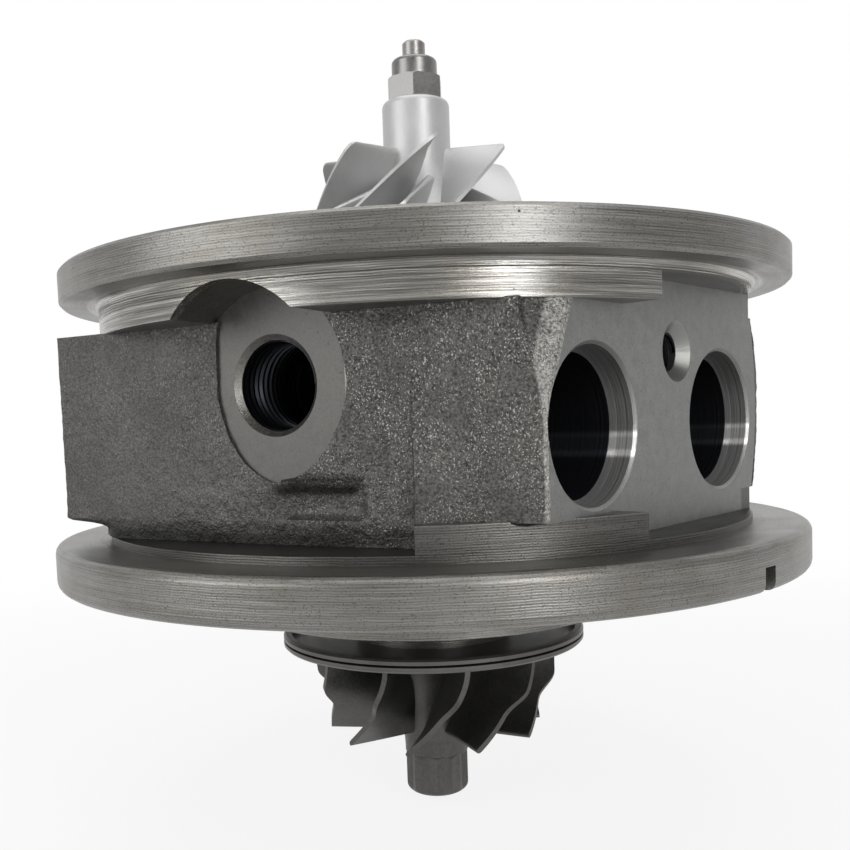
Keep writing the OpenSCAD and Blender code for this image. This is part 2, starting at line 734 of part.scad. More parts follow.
// Bores and chambers on the rotor's axis, as one stepped half section
module axis_cuts() {
    rotate_extrude()
        polygon([
            [0, -nose_h - eps], [nose_bore_r, -nose_h - eps],
            [nose_bore_r, slinger_low_z], [oil_cavity_r, slinger_low_z],
            [oil_cavity_r, turbine_bore_low_z], [bearing_bore_r, turbine_bore_low_z],
            [bearing_bore_r, turbine_bore_high_z], [drain_cavity_r, turbine_bore_high_z],
            [drain_cavity_r, compressor_bore_low_z], [bearing_bore_r, compressor_bore_low_z],
            [bearing_bore_r, compressor_bore_high_z], [thrust_chamber_r, compressor_bore_high_z],
            [thrust_chamber_r, thrust_low_z], [insert_r, thrust_low_z],
            [insert_r, recess_z], [wheel_recess_r, recess_z],
            [wheel_recess_r, housing_top_z + eps], [0, housing_top_z + eps]
        ]);
    for (z = circlip_places())
        ring(bearing_bore_r - eps, circlip_groove_r, z - groove_gap, z + circlip_t + groove_gap);
    ring(insert_r - eps, snap_groove_r, snap_low_z - groove_gap, snap_high_z + groove_gap);
    for (az = pin_azimuths)
        at_azimuth(az)
            translate([0, -pin_place_r, thrust_low_z - 2 * pin_r])
                cylinder(r = pin_r + slip_gap, h = 2 * pin_r + eps);
}

// Lower faces of the four circlips
function circlip_places() = [
    for (z = [turbine_bearing_z, compressor_bearing_z], side = [0, 1])
        side == 0 ? z - circlip_gap - circlip_t : z + bearing_h + circlip_gap
];

// Cast housing with both flanges, the oil and water ports and all bores
module bearing_housing() {
    color("dimgray")
        difference() {
            housing_form();
            oil_inlet_cuts();
            water_cuts();
            drain_cuts();
            axis_cuts();
            at_azimuth(notch_az)
                beyond(turbine_flange_r - notch_d, -notch_w / 2, notch_w / 2, -eps, notch_h);
        }
}

// Dished sheet between housing and turbine wheel, with a grooved rim
module heat_shield() {
    top = shield_low_z + shield_rim_h;
    c = shield_edge;
    color("darkslategray")
        rotate_extrude()
            polygon([
                [shield_hole_r, shield_low_z], [shield_r - c, shield_low_z],
                [shield_r, shield_low_z + c], [shield_r, shield_low_z + shield_lip_h],
                [shield_r - shield_groove_d, shield_low_z + shield_rim_h / 2],
                [shield_r, top - shield_lip_h], [shield_r, top - c], [shield_r - c, top],
                [shield_r - shield_rim_w, top], [shield_r - shield_rim_w, -nose_h], [shield_hole_r, -nose_h]
            ]);
}

// One blade as a closed shell. root and tip list the [r, z] points of its two long edges, root_turn and
// tip_turn the azimuths of these points, and the thickness runs from t_root to t_tip.
module blade(root, tip, root_turn, tip_turn, t_root, t_tip, rows = 3) {
    n = len(root) - 1;
    count = (n + 1) * (rows + 1);
    points = [
        for (side = [-1, 1], i = [0:n], j = [0:rows])
            let (
                p = mix(root[i], tip[i], j / rows),
                half = mix(t_root, t_tip, j / rows) / 2,
                a = mix(root_turn[i], tip_turn[i], j / rows) - 90 + side * asin(half / p[0])
            )
            [p[0] * cos(a), p[0] * sin(a), p[1]]
    ];
    function at(side, i, j) = side * count + i * (rows + 1) + j;
    function quad(a, b, c, d) = [[a, c, b], [a, d, c]];
    faces = [
        for (i = [0:n - 1], j = [0:rows - 1])
            each concat(
                quad(at(0, i, j), at(0, i + 1, j), at(0, i + 1, j + 1), at(0, i, j + 1)),
                quad(at(1, i, j), at(1, i, j + 1), at(1, i + 1, j + 1), at(1, i + 1, j))
            ),
        for (i = [0:n - 1])
            each concat(
                quad(at(0, i, 0), at(1, i, 0), at(1, i + 1, 0), at(0, i + 1, 0)),
                quad(at(0, i, rows), at(0, i + 1, rows), at(1, i + 1, rows), at(1, i, rows))
            ),
        for (j = [0:rows - 1])
            each concat(
                quad(at(0, 0, j), at(0, 0, j + 1), at(1, 0, j + 1), at(1, 0, j)),
                quad(at(0, n, j), at(1, n, j), at(1, n, j + 1), at(0, n, j + 1))
            )
    ];
    polyhedron(points, faces);
}

// Half section of the turbine hub, from its back disc down to the twelve-point end
function turbine_hub(t) = [
    mix(turbine_disc_r, turbine_hub_r, sin(90 * t)),
    mix(turbine_back_z - turbine_disc_t, turbine_hub_low_z, 1 - cos(90 * t))
];

// Tip radius of the turbine blades at a depth below their upper edge
function turbine_tip_r(d) =
    let (fall = (d - turbine_inlet_h) / turbine_fall_h)
    mix(turbine_r, turbine_out_r, fall <= 0 ? 0 : fall >= 1 ? 1 : (1 - cos(180 * fall)) / 2);

// Cast turbine wheel with its blades and the twelve-point end for the balancing drive
module turbine_wheel() {
    steps = 10;
    top = turbine_back_z - eps;
    nut_low_z = turbine_hub_low_z - turbine_nut_h;
    c = turbine_nut_round;
    depth = [for (i = [0:steps]) turbine_blade_h * i / steps];
    root_r = turbine_hub_r * turbine_root_share;
    root = [for (i = [0:steps]) [root_r, mix(top - eps, turbine_back_z - turbine_root_h, i / steps)]];
    tip = [for (d = depth) [turbine_tip_r(d), top - d]];
    turn = [for (i = [0:steps]) -turbine_wrap * pow(i / steps, turbine_bend)];
    color([0.2, 0.2, 0.2]) {
        rotate_extrude()
            polygon(concat(
                [[0, weld_z], [seal_hub_r, weld_z], [seal_hub_r, turbine_back_z]],
                [[turbine_disc_r, turbine_back_z]],
                [for (i = [0:8]) turbine_hub(i / 8)],
                [[turbine_hub_r, turbine_hub_low_z - eps], [0, turbine_hub_low_z - eps]]
            ));
        intersection() {
            for (a = [0, 30])
                rotate([0, 0, a])
                    translate([0, 0, nut_low_z])
                        cylinder(r = turbine_nut_r, h = turbine_nut_h, $fn = 6);
            rotate_extrude()
                polygon(concat(
                    [[0, nut_low_z]],
                    arc(turbine_nut_r - c, nut_low_z + c, c, -90, 0),
                    [[turbine_nut_r, turbine_hub_low_z], [0, turbine_hub_low_z]]
                ));
        }
        for (i = [0:turbine_blades - 1])
            rotate([0, 0, turbine_blade_az + 360 * i / turbine_blades])
                blade(root, tip, turn, turn, turbine_root_t, turbine_tip_t);
    }
}

// Steel shaft with its seal hub, two journals, the stem for the compressor side and the threaded end
module rotor_shaft() {
    groove_low = turbine_ring_z - piston_ring_gap;
    groove_high = turbine_ring_z + piston_ring_t + piston_ring_gap;
    groove_r = nose_bore_r - spring_gap - piston_ring_w - seal_gap;
    waist_low = turbine_bearing_z + bearing_h + circlip_gap;
    waist_high = compressor_bearing_z - circlip_gap;
    slope = journal_r - shaft_waist_r;
    thread_low_z = nut_low_z - thread_lead;
    thread_high_z = nut_high_z - thread_end_d;
    tip_z = nut_high_z + tip_h;
    color("silver")
        rotate_extrude()
            polygon([
                [0, weld_z], [seal_hub_r, weld_z], [seal_hub_r, groove_low], [groove_r, groove_low],
                [groove_r, groove_high], [seal_hub_r, groove_high],
                [seal_hub_r, seal_hub_high_z], [journal_r, seal_hub_high_z],
                [journal_r, waist_low], [shaft_waist_r, waist_low + slope],
                [shaft_waist_r, waist_high - slope], [journal_r, waist_high],
                [journal_r, thrust_shoulder_z], [stem_r, thrust_shoulder_z],
                [stem_r, thread_low_z], [thread_r, thread_low_z + stem_r - thread_r],
                [thread_r, thread_high_z], [tip_r, thread_high_z],
                [tip_r, tip_z - tip_chamfer], [tip_r - tip_chamfer, tip_z], [0, tip_z]
            ]);
}

// Split seal ring that stands still in the nose bore
module turbine_piston_ring() {
    r = nose_bore_r - spring_gap;
    z = turbine_ring_z;
    color("gray")
        split_ring(r - piston_ring_w, r, z, z + piston_ring_t, drain_az, piston_ring_opening);
}

// Floating bush with a ring of oil holes and chamfered ends
module journal_bearing(z) {
    c = bearing_chamfer;
    r_in = journal_r + running_gap;
    color("goldenrod")
        translate([0, 0, z])
            difference() {
                rotate_extrude()
                    polygon([
                        [r_in + c, 0], [bearing_r - c, 0], [bearing_r, c], [bearing_r, bearing_h - c],
                        [bearing_r - c, bearing_h], [r_in + c, bearing_h], [r_in, bearing_h - c], [r_in, c]
                    ]);
                for (i = [0:bearing_holes - 1])
                    rotate([0, 0, 360 * i / bearing_holes])
                        translate([0, 0, bearing_h / 2])
                            rotate([90, 0, 0])
                                cylinder(r = bearing_hole_r, h = bearing_r + eps);
            }
}

// Floating bush on the turbine side
module turbine_journal_bearing() {
    journal_bearing(turbine_bearing_z);
}

// Floating bush on the compressor side
module compressor_journal_bearing() {
    journal_bearing(compressor_bearing_z);
}

// Four circlips that keep the floating bushes in place
module bearing_circlips() {
    r = circlip_groove_r - spring_gap;
    color("lightslategray")
        for (z = circlip_places())
            split_ring(r - circlip_w, r, z, z + circlip_t, drain_az, circlip_opening);
}

// Lower thrust collar, clamped against the shaft's shoulder
module thrust_collar() {
    color("lightgray")
        ring(stem_r + slip_gap, thrust_collar_r, thrust_shoulder_z, thrust_shoulder_z + thrust_collar_t);
}

// Distance sleeve between the two thrust collars, which sets the thrust gap
module thrust_spacer() {
    color("silver")
        ring(stem_r + slip_gap, thrust_sleeve_r, thrust_shoulder_z + thrust_collar_t, sleeve_low_z);
}

// Fixed thrust plate with oil pockets around its bore and an open side towards the drain
module thrust_bearing() {
    r = insert_r - insert_gap;
    color("darkgoldenrod")
        difference() {
            ring(thrust_bore_r, r, thrust_low_z, deflector_low_z);
            at_azimuth(drain_az)
                beyond(thrust_chamber_r, -reach, reach, thrust_low_z - eps, deflector_low_z + eps);
            for (az = pin_azimuths)
                at_azimuth(az)
                    translate([0, -pin_place_r, thrust_low_z - eps])
                        cylinder(r = pin_r + slip_gap, h = thrust_t + 2 * eps);
            for (i = [0:2], z = [thrust_low_z - eps, deflector_low_z - oil_pocket_d])
                rotate([0, 0, wall_az + 120 * i])
                    translate([-oil_pocket_w / 2, -thrust_collar_r + oil_pocket_land, z])
                        cube([oil_pocket_w, thrust_collar_r - thrust_bore_r, oil_pocket_d + eps]);
        }
}

// Two dowels that keep the thrust bearing from turning
module thrust_bearing_pins() {
    low = thrust_low_z - 2 * pin_r + pin_end_gap;
    color("silver")
        for (az = pin_azimuths)
            at_azimuth(az)
                translate([0, -pin_place_r, low])
                    cylinder(r = pin_r, h = deflector_low_z - pin_end_gap - low);
}

// Sheet that leads the oil away from the compressor seal, with a tongue towards the drain
module oil_deflector() {
    r = insert_r - insert_gap;
    low = deflector_low_z;
    high = seal_plate_low_z;
    color("lightsteelblue")
        difference() {
            union() {
                ring(deflector_hole_r, r, low, high);
                ring(deflector_hole_r, deflector_hole_r + deflector_t, high - eps, high + deflector_collar_h);
            }
            at_azimuth(drain_az)
                beyond(thrust_chamber_r + deflector_overhang, -reach, reach, low - eps, high + eps);
        }
}

// Turning sleeve with the upper thrust collar and the groove of the compressor seal ring
module seal_sleeve() {
    bore = stem_r + slip_gap;
    collar_high = sleeve_low_z + thrust_collar_t;
    groove_low = compressor_ring_z - piston_ring_gap;
    groove_high = compressor_ring_z + piston_ring_t + piston_ring_gap;
    groove_r = seal_sleeve_r + seal_gap - spring_gap - piston_ring_w - seal_gap;
    color("lightgray")
        rotate_extrude()
            polygon([
                [bore, sleeve_low_z], [thrust_collar_r, sleeve_low_z], [thrust_collar_r, collar_high],
                [seal_sleeve_r, collar_high], [seal_sleeve_r, groove_low], [groove_r, groove_low],
                [groove_r, groove_high], [seal_sleeve_r, groove_high],
                [seal_sleeve_r, sleeve_high_z], [bore, sleeve_high_z]
            ]);
}

// Split seal ring that stands still in the seal plate
module compressor_piston_ring() {
    r = seal_sleeve_r + seal_gap - spring_gap;
    z = compressor_ring_z;
    color("gray")
        split_ring(r - piston_ring_w, r, z, z + piston_ring_t, drain_az, piston_ring_opening);
}

// Insert that closes the compressor side of the housing
module seal_plate() {
    r = insert_r - insert_gap;
    groove_r = insert_r - 2 * o_ring_r - o_ring_gap;
    groove_half = o_ring_r + o_ring_gap;
    groove_z = (seal_plate_low_z + seal_plate_high_z) / 2;
    room = sleeve_low_z + thrust_collar_t + seal_room_h;
    room_r = deflector_hole_r + deflector_t + seal_room_gap;
    bore = seal_sleeve_r + seal_gap;
    c = seal_plate_chamfer;
    color("gainsboro")
        rotate_extrude()
            polygon([
                [room_r, seal_plate_low_z], [r, seal_plate_low_z],
                [r, groove_z - groove_half], [groove_r, groove_z - groove_half],
                [groove_r, groove_z + groove_half], [r, groove_z + groove_half],
                [r, seal_plate_high_z - c], [r - c, seal_plate_high_z],
                [bore, seal_plate_high_z], [bore, room], [room_r, room]
            ]);
}

// Rubber ring in the seal plate's groove
module seal_plate_o_ring() {
    color([0.1, 0.1, 0.1])
        translate([0, 0, (seal_plate_low_z + seal_plate_high_z) / 2])
            rotate_extrude()
                translate([insert_r - o_ring_r - o_ring_gap / 2, 0])
                    circle(r = o_ring_r, $fn = 32);
}

// Snap ring that keeps the seal plate in the housing
module seal_plate_snap_ring() {
    r = snap_groove_r - spring_gap;
    color("slategray")
        split_ring(r - snap_ring_w, r, seal_plate_high_z, snap_high_z, drain_az, snap_ring_opening);
}

// Half section of the compressor hub, from the rim of the back disc up to the nose
function compressor_hub(t) = [
    mix(compressor_r, compressor_nose_r, sin(90 * t)),
    mix(wheel_back_z + compressor_disc_t, wheel_back_z + inducer_h + compressor_hub_over, 1 - cos(90 * t))
];

// Point of the hub moved under its surface, so that a blade's root is inside the metal
function compressor_root(t) = compressor_hub(t) - [sin(90 * t), cos(90 * t)] * compressor_root_d;

// Tip of the compressor blades, from the leading edge at t = 0 to the rim at t = 1
function compressor_tip(t) = [
    mix(compressor_r - eps, inducer_r, cos(90 * t)),
    mix(wheel_back_z + inducer_h, wheel_back_z + compressor_disc_t + compressor_out_w, sin(90 * t))
];

// Azimuth of a compressor blade along its length, from its leading edge
function compressor_turn(t) = -compressor_wrap * (1 - pow(1 - t, 2));

// Blades of one kind, which start at given parts of the tip's and the root's length, set between the
// full blades by a share of their pitch
module compressor_blade_set(tip_start, root_start, phase) {
    steps = 10;
    tip_t = [for (i = [0:steps]) mix(tip_start, 1, i / steps)];
    root_t = [for (i = [0:steps]) mix(root_start, 1, i / steps)];
    root = [for (t = root_t) compressor_root((1 - t) * compressor_root_share) - [eps, 0]];
    tip = [for (t = tip_t) compressor_tip(t)];
    root_turn = [for (t = root_t) compressor_turn(t)];
    tip_turn = [for (t = tip_t) compressor_turn(t)];
    for (i = [0:compressor_blades - 1])
        rotate([0, 0, compressor_blade_az + 360 * (i + phase) / compressor_blades])
            blade(root, tip, root_turn, tip_turn, compressor_root_t, compressor_tip_t);
}

// Machined compressor wheel with full blades and splitters
module compressor_wheel() {
    high = wheel_back_z + compressor_h;
    c = compressor_nose_round;
    hub_h = inducer_h + compressor_hub_over - compressor_disc_t;
    splitter_tip = asin(splitter_drop / (inducer_h - compressor_disc_t - compressor_out_w)) / 90;
    splitter_hub = acos((splitter_root_drop + compressor_hub_over) / hub_h) / 90;
    bore = stem_r + slip_gap;
    color("whitesmoke") {
        difference() {
            rotate_extrude()
                polygon(concat(
                    [[0, sleeve_high_z], [seal_sleeve_r, sleeve_high_z], [seal_sleeve_r, wheel_back_z]],
                    [[compressor_r, wheel_back_z]],
                    [for (i = [0:10]) compressor_hub(i / 10)],
                    arc(compressor_nose_r - c, high - c, c, 0, 90),
                    [[0, high]]
                ));
            translate([0, 0, sleeve_high_z - eps])
                cylinder(r = bore, h = high - sleeve_high_z + 2 * eps);
        }
        compressor_blade_set(0, 0, 0);
        compressor_blade_set(splitter_tip, 1 - splitter_hub / compressor_root_share, 0.5);
    }
}

// Nut that clamps the compressor side stack, a hexagon under a round collar
module compressor_nut() {
    hex_high = nut_low_z + nut_hex_h;
    bore = thread_r + slip_gap;
    c = nut_round;
    color("darkgray")
        difference() {
            union() {
                intersection() {
                    translate([0, 0, nut_low_z])
                        rotate([0, 0, nut_corner_az - 90])
                            cylinder(d = nut_flats / cos(30), h = nut_hex_h, $fn = 6);
                    translate([0, 0, nut_low_z])
                        cylinder(r1 = nut_chamfer_r + nut_hex_h, r2 = nut_chamfer_r, h = nut_hex_h);
                }
                rotate_extrude()
                    polygon(concat(
                        [[0, hex_high - eps], [nut_collar_r, hex_high - eps]],
                        arc(nut_collar_r - c, nut_high_z - c, c, 0, 90),
                        [[0, nut_high_z]]
                    ));
            }
            translate([0, 0, nut_low_z - eps])
                cylinder(r = bore, h = nut_high_z - nut_low_z + 2 * eps);
        }
}

bearing_housing();
heat_shield();
turbine_wheel();
rotor_shaft();
turbine_piston_ring();
turbine_journal_bearing();
compressor_journal_bearing();
bearing_circlips();
thrust_collar();
thrust_spacer();
thrust_bearing();
thrust_bearing_pins();
oil_deflector();
seal_sleeve();
compressor_piston_ring();
seal_plate();
seal_plate_o_ring();
seal_plate_snap_ring();
compressor_wheel();
compressor_nut();
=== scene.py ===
"""Looks of a turbocharger cartridge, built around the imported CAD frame."""

import json
import logging
import math
from dataclasses import dataclass
from enum import Enum
from typing import Callable, Sequence, Union

import bmesh
import bpy
from mathutils import Matrix, Vector, noise


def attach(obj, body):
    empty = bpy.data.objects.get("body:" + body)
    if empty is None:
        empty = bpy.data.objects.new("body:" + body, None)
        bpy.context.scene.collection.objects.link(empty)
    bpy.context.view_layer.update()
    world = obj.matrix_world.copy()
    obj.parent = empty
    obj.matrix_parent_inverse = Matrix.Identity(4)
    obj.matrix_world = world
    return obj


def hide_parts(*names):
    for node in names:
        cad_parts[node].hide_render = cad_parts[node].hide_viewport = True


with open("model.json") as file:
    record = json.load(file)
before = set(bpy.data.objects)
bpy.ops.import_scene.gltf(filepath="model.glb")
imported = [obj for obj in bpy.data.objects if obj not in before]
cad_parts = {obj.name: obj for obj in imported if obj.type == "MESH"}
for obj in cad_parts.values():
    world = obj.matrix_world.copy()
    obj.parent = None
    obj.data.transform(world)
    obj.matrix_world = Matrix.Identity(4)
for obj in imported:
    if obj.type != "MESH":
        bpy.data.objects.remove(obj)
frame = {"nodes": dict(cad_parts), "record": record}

LOG = logging.getLogger("cartridge")
# Metres in a millimetre, and the distance in metres under which corners are merged
MM = 0.001
MERGE = 1e-7
# Angle in degrees from which an edge stays sharp on pieces that state none
SHARP = 35.0
# Corners of a round cutter, and steps of a wheel's hub line
ROUND_STEPS = 128
HUB_STEPS = 40
# Distances from the axis in millimetres between which a cutter goes through the casting's skin
INSIDE = 30.0
OUTSIDE = 70.0
# Distance in millimetres beyond the whole part, and heights beyond the casting
BEYOND = 80.0
TALL = (-5.0, 60.0)
# Lap in millimetres of a cutter over the face that it frees
LAP = 0.02
# Least cosine at which a flat face still bounds the casting
FACING = 0.2
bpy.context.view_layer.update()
Colour = tuple[float, float, float]
Point = tuple[float, float, float]
Pair = tuple[float, float]
Piece = bpy.types.Object


class Body(str, Enum):
    """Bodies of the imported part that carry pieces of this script."""

    CARTRIDGE = "cartridge"
    ROTOR = "rotor"


class Lay(Enum):
    """The way in which a tool or mould has marked a surface."""

    TURNED = "turned"
    CAST = "cast"
    SHEET = "sheet"
    PLAIN = "plain"


class Value:
    """A shader socket with arithmetic, so that shader maths reads as an expression."""

    def __init__(self, graph: "Tree", socket: bpy.types.NodeSocket) -> None:
        """Keeps the socket and the graph that it belongs to."""
        self.graph = graph
        self.socket = socket

    def __add__(self, other: "Number") -> "Value":
        """Sum."""
        return self.graph.math("ADD", self, other)

    def __radd__(self, other: "Number") -> "Value":
        """Sum with a number on the left."""
        return self.graph.math("ADD", other, self)

    def __sub__(self, other: "Number") -> "Value":
        """Difference."""
        return self.graph.math("SUBTRACT", self, other)

    def __rsub__(self, other: "Number") -> "Value":
        """Difference with a number on the left."""
        return self.graph.math("SUBTRACT", other, self)

    def __mul__(self, other: "Number") -> "Value":
        """Product."""
        return self.graph.math("MULTIPLY", self, other)

    def __truediv__(self, other: "Number") -> "Value":
        """Quotient."""
        return self.graph.math("DIVIDE", self, other)

    def root(self) -> "Value":
        """Square root."""
        return self.graph.math("SQRT", self)

    def wave(self) -> "Value":
        """Sine of the value in radians."""
        return self.graph.math("SINE", self)

    def rise(self, low: float, high: float) -> "Value":
        """Smooth step from 0 at low to 1 at high.

        Args:
            low: Value at which the step starts.
            high: Value at which the step ends.

        Returns:
            The step, between 0 and 1.
        """
        settings = {"interpolation_type": "SMOOTHSTEP"}
        values = {"Value": self, "From Min": low, "From Max": high}
        return self.graph.add("ShaderNodeMapRange", settings, values)

    def within(self, low: float, high: float, edge: float) -> "Value":
        """Mask of a range with soft edges.

        Args:
            low: Lower end of the range.
            high: Upper end of the range.
            edge: Width of each soft edge.

        Returns:
            1 inside the range and 0 outside.
        """
        return self.rise(low - edge, low + edge) * (1 - self.rise(high - edge, high + edge))


Number = Union[Value, float, int]
Paint = Union[Value, Colour]


class Tree:
    """A node tree that is written as expressions."""

    def __init__(self, tree: bpy.types.NodeTree) -> None:
        """Keeps the tree."""
        self.tree = tree

    def add(self, kind: str, settings: dict, values: dict, output: Union[int, str] = 0) -> Value:
        """Adds a node of any type.

        Args:
            kind: Blender's name of the node type.
            settings: Properties of the node, which are set first. A ramp's stops go under "stops".
            values: Numbers, colours or links by socket name or index.
            output: Name or index of the socket to give back.

        Returns:
            The chosen output.
        """
        node = self.tree.nodes.new(kind)
        for key, setting in settings.items():
            if key == "stops":
                self._stops(node.color_ramp, setting)
            else:
                setattr(node, key, setting)
        for key, value in values.items():
            socket = node.inputs[key]
            if isinstance(value, Value):
                self.tree.links.new(value.socket, socket)
            else:
                socket.default_value = value
        return Value(self, node.outputs[output])

    @staticmethod
    def _stops(ramp: bpy.types.ColorRamp, stops: Sequence[tuple[float, Colour]]) -> None:
        """Sets a ramp's stops.

        Args:
            ramp: Ramp of a node.
            stops: Place and colour of each stop.
        """
        while len(ramp.elements) < len(stops):
            ramp.elements.new(0.5)
        for element, (place, colour) in zip(ramp.elements, stops):
            element.position = place
            element.color = (*colour, 1.0)

    def math(self, operation: str, *terms: Number) -> Value:
        """One Math node on values."""
        return self.add("ShaderNodeMath", {"operation": operation}, dict(enumerate(terms)))

    def end(self, shader: Value) -> None:
        """Links a shader to the material's output."""
        output = self.tree.nodes.new("ShaderNodeOutputMaterial")
        self.tree.links.new(shader.socket, output.inputs["Surface"])


class Graph(Tree):
    """The node tree of one material.

    Attributes:
        mark_r: Radius in millimetres at which the length of lathe marks is measured.
    """

    mark_r = 50.0

    def __init__(self, material: bpy.types.Material) -> None:
        """Empties the material's tree and keeps it.

        Args:
            material: Material to build.
        """
        material.use_nodes = True
        super().__init__(material.node_tree)
        self.tree.nodes.clear()

    def colour(self, mask: Number, first: Paint, second: Paint) -> Value:
        """Mixes two colours.

        Args:
            mask: 0 gives the first colour and 1 the second.
            first: Colour where the mask is 0.
            second: Colour where the mask is 1.

        Returns:
            The mixed colour.
        """
        ends = [c if isinstance(c, Value) else (*c, 1.0) for c in (first, second)]
        settings = {"data_type": "RGBA"}
        return self.add("ShaderNodeMix", settings, {0: mask, 6: ends[0], 7: ends[1]}, 2)

    def tint(self, colour: Value, factor: Value) -> Value:
        """Scales a colour by a value.

        Args:
            colour: Colour to scale.
            factor: Value around 1.

        Returns:
            The scaled colour.
        """
        settings = {"operation": "SCALE"}
        return self.add("ShaderNodeVectorMath", settings, {0: colour, 3: factor})

    def place(self) -> Value:
        """The point on the piece, in metres in the row frame."""
        return self.add("ShaderNodeTexCoord", {}, {}, "Object")

    def axes(self) -> tuple[Value, Value, Value]:
        """Splits the point into its coordinates.

        Returns:
            The three coordinates in millimetres.
        """
        point = self.place()
        parts = [self.add("ShaderNodeSeparateXYZ", {}, {0: point}, i) for i in range(3)]
        return tuple(part * (1 / MM) for part in parts)

    def radius(self) -> Value:
        """The point's distance from the rotor axis in millimetres."""
        x, y, _ = self.axes()
        return (x * x + y * y).root()

    def noise(
        self, size: float, detail: float = 3.0, rough: float = 0.55, stretch: Point = (1, 1, 1)
    ) -> Value:
        """Fractal noise around 0.5.

        Args:
            size: Size of the largest lumps in millimetres.
            detail: Number of finer layers.
            rough: Strength of the finer layers.
            stretch: Factors on the three axes.

        Returns:
            The noise.
        """
        scaled = self.add("ShaderNodeMapping", {}, {"Vector": self.place(), "Scale": stretch})
        values = {"Vector": scaled, "Scale": 1 / (size * MM), "Detail": detail, "Roughness": rough}
        return self.add("ShaderNodeTexNoise", {}, values)

    def line_noise(self, along: Value, pitch: float, detail: float = 2.0) -> Value:
        """Noise that changes along one coordinate only.

        Args:
            along: Coordinate in millimetres.
            pitch: Size of the marks in millimetres.
            detail: Number of finer layers.

        Returns:
            Noise around 0.5.
        """
        settings = {"noise_dimensions": "1D"}
        values = {"W": along * (1 / pitch), "Scale": 1.0, "Detail": detail}
        return self.add("ShaderNodeTexNoise", settings, values)

    def round_noise(self, length: float, pitch: float, detail: float = 3.0) -> Value:
        """Noise that is drawn out around the rotor axis, as a lathe tool leaves it.

        Args:
            length: Length of a mark in millimetres.
            pitch: Width of a mark in millimetres.
            detail: Number of finer layers.

        Returns:
            Noise around 0.5.
        """
        x, y, z = self.axes()
        angle = self.math("ARCTAN2", x, 0 - y)
        across = 1 / pitch
        parts = {"X": angle * (self.mark_r / length), "Y": z * across, "Z": self.radius() * across}
        place = self.add("ShaderNodeCombineXYZ", {}, parts)
        values = {"Vector": place, "Scale": 1.0, "Detail": detail, "Roughness": 0.6}
        return self.add("ShaderNodeTexNoise", {}, values)

    def cells(self, size: float) -> Value:
        """Distance from the middle of cells of a size in millimetres."""
        values = {"Vector": self.place(), "Scale": 1 / (size * MM)}
        return self.add("ShaderNodeTexVoronoi", {}, values, "Distance")

    def surface(self, colour: Value, metallic: Number, roughness: Number, height: Value) -> None:
        """Ends the tree in a shader.

        Args:
            colour: Base colour.
            metallic: Share of metal.
            roughness: Roughness.
            height: Relief in millimetres.
        """
        relief = {"Strength": 1.0, "Distance": MM, "Height": height}
        values = {
            "Base Color": colour,
            "Metallic": metallic,
            "Roughness": roughness,
            "Normal": self.add("ShaderNodeBump", {}, relief, "Normal"),
        }
        self.end(self.add("ShaderNodeBsdfPrincipled", {}, values))


@dataclass(frozen=True)
class Metal:
    """A plain metal finish.

    Attributes:
        name: Name of the material.
        colour: Base colour.
        shade: Factor of the darkest spots.
        metallic: Share of metal.
        roughness: Mean roughness.
        lay: Marks that the making has left.
        pitch: Size of those marks in millimetres.
        depth: Depth of those marks in millimetres.
        cloud: Size of the patches of lighter and darker metal in millimetres.
    """

    name: str
    colour: Colour
    shade: float
    metallic: float
    roughness: float
    lay: Lay
    pitch: float
    depth: float
    cloud: float = 6.0

    def material(self) -> bpy.types.Material:
        """Builds the material.

        Returns:
            The material.
        """
        made = bpy.data.materials.new(self.name)
        graph = Graph(made)
        clouds = graph.noise(self.cloud, 4.0)
        grain = graph.noise(self.pitch, 2.0)
        height = grain * self.depth
        marks = grain
        if self.lay is Lay.TURNED:
            _, _, z = graph.axes()
            marks = graph.line_noise(z + graph.radius() * 0.7, self.pitch, 3.0)
            height = marks * self.depth + grain * (self.depth * 0.3)
        elif self.lay is Lay.CAST:
            height = (grain - graph.cells(self.pitch * 1.6)) * self.depth
        elif self.lay is Lay.SHEET:
            marks = graph.noise(self.pitch, 3.0, 0.6, (1.0, 1.0, 0.15))
        dark = tuple(c * self.shade for c in self.colour)
        colour = graph.colour((clouds * 0.6 + marks * 0.4).rise(0.3, 0.68), dark, self.colour)
        rough = (clouds - 0.5) * 0.25 + (marks - 0.5) * 0.2 + self.roughness
        graph.surface(colour, self.metallic, rough, height)
        return made


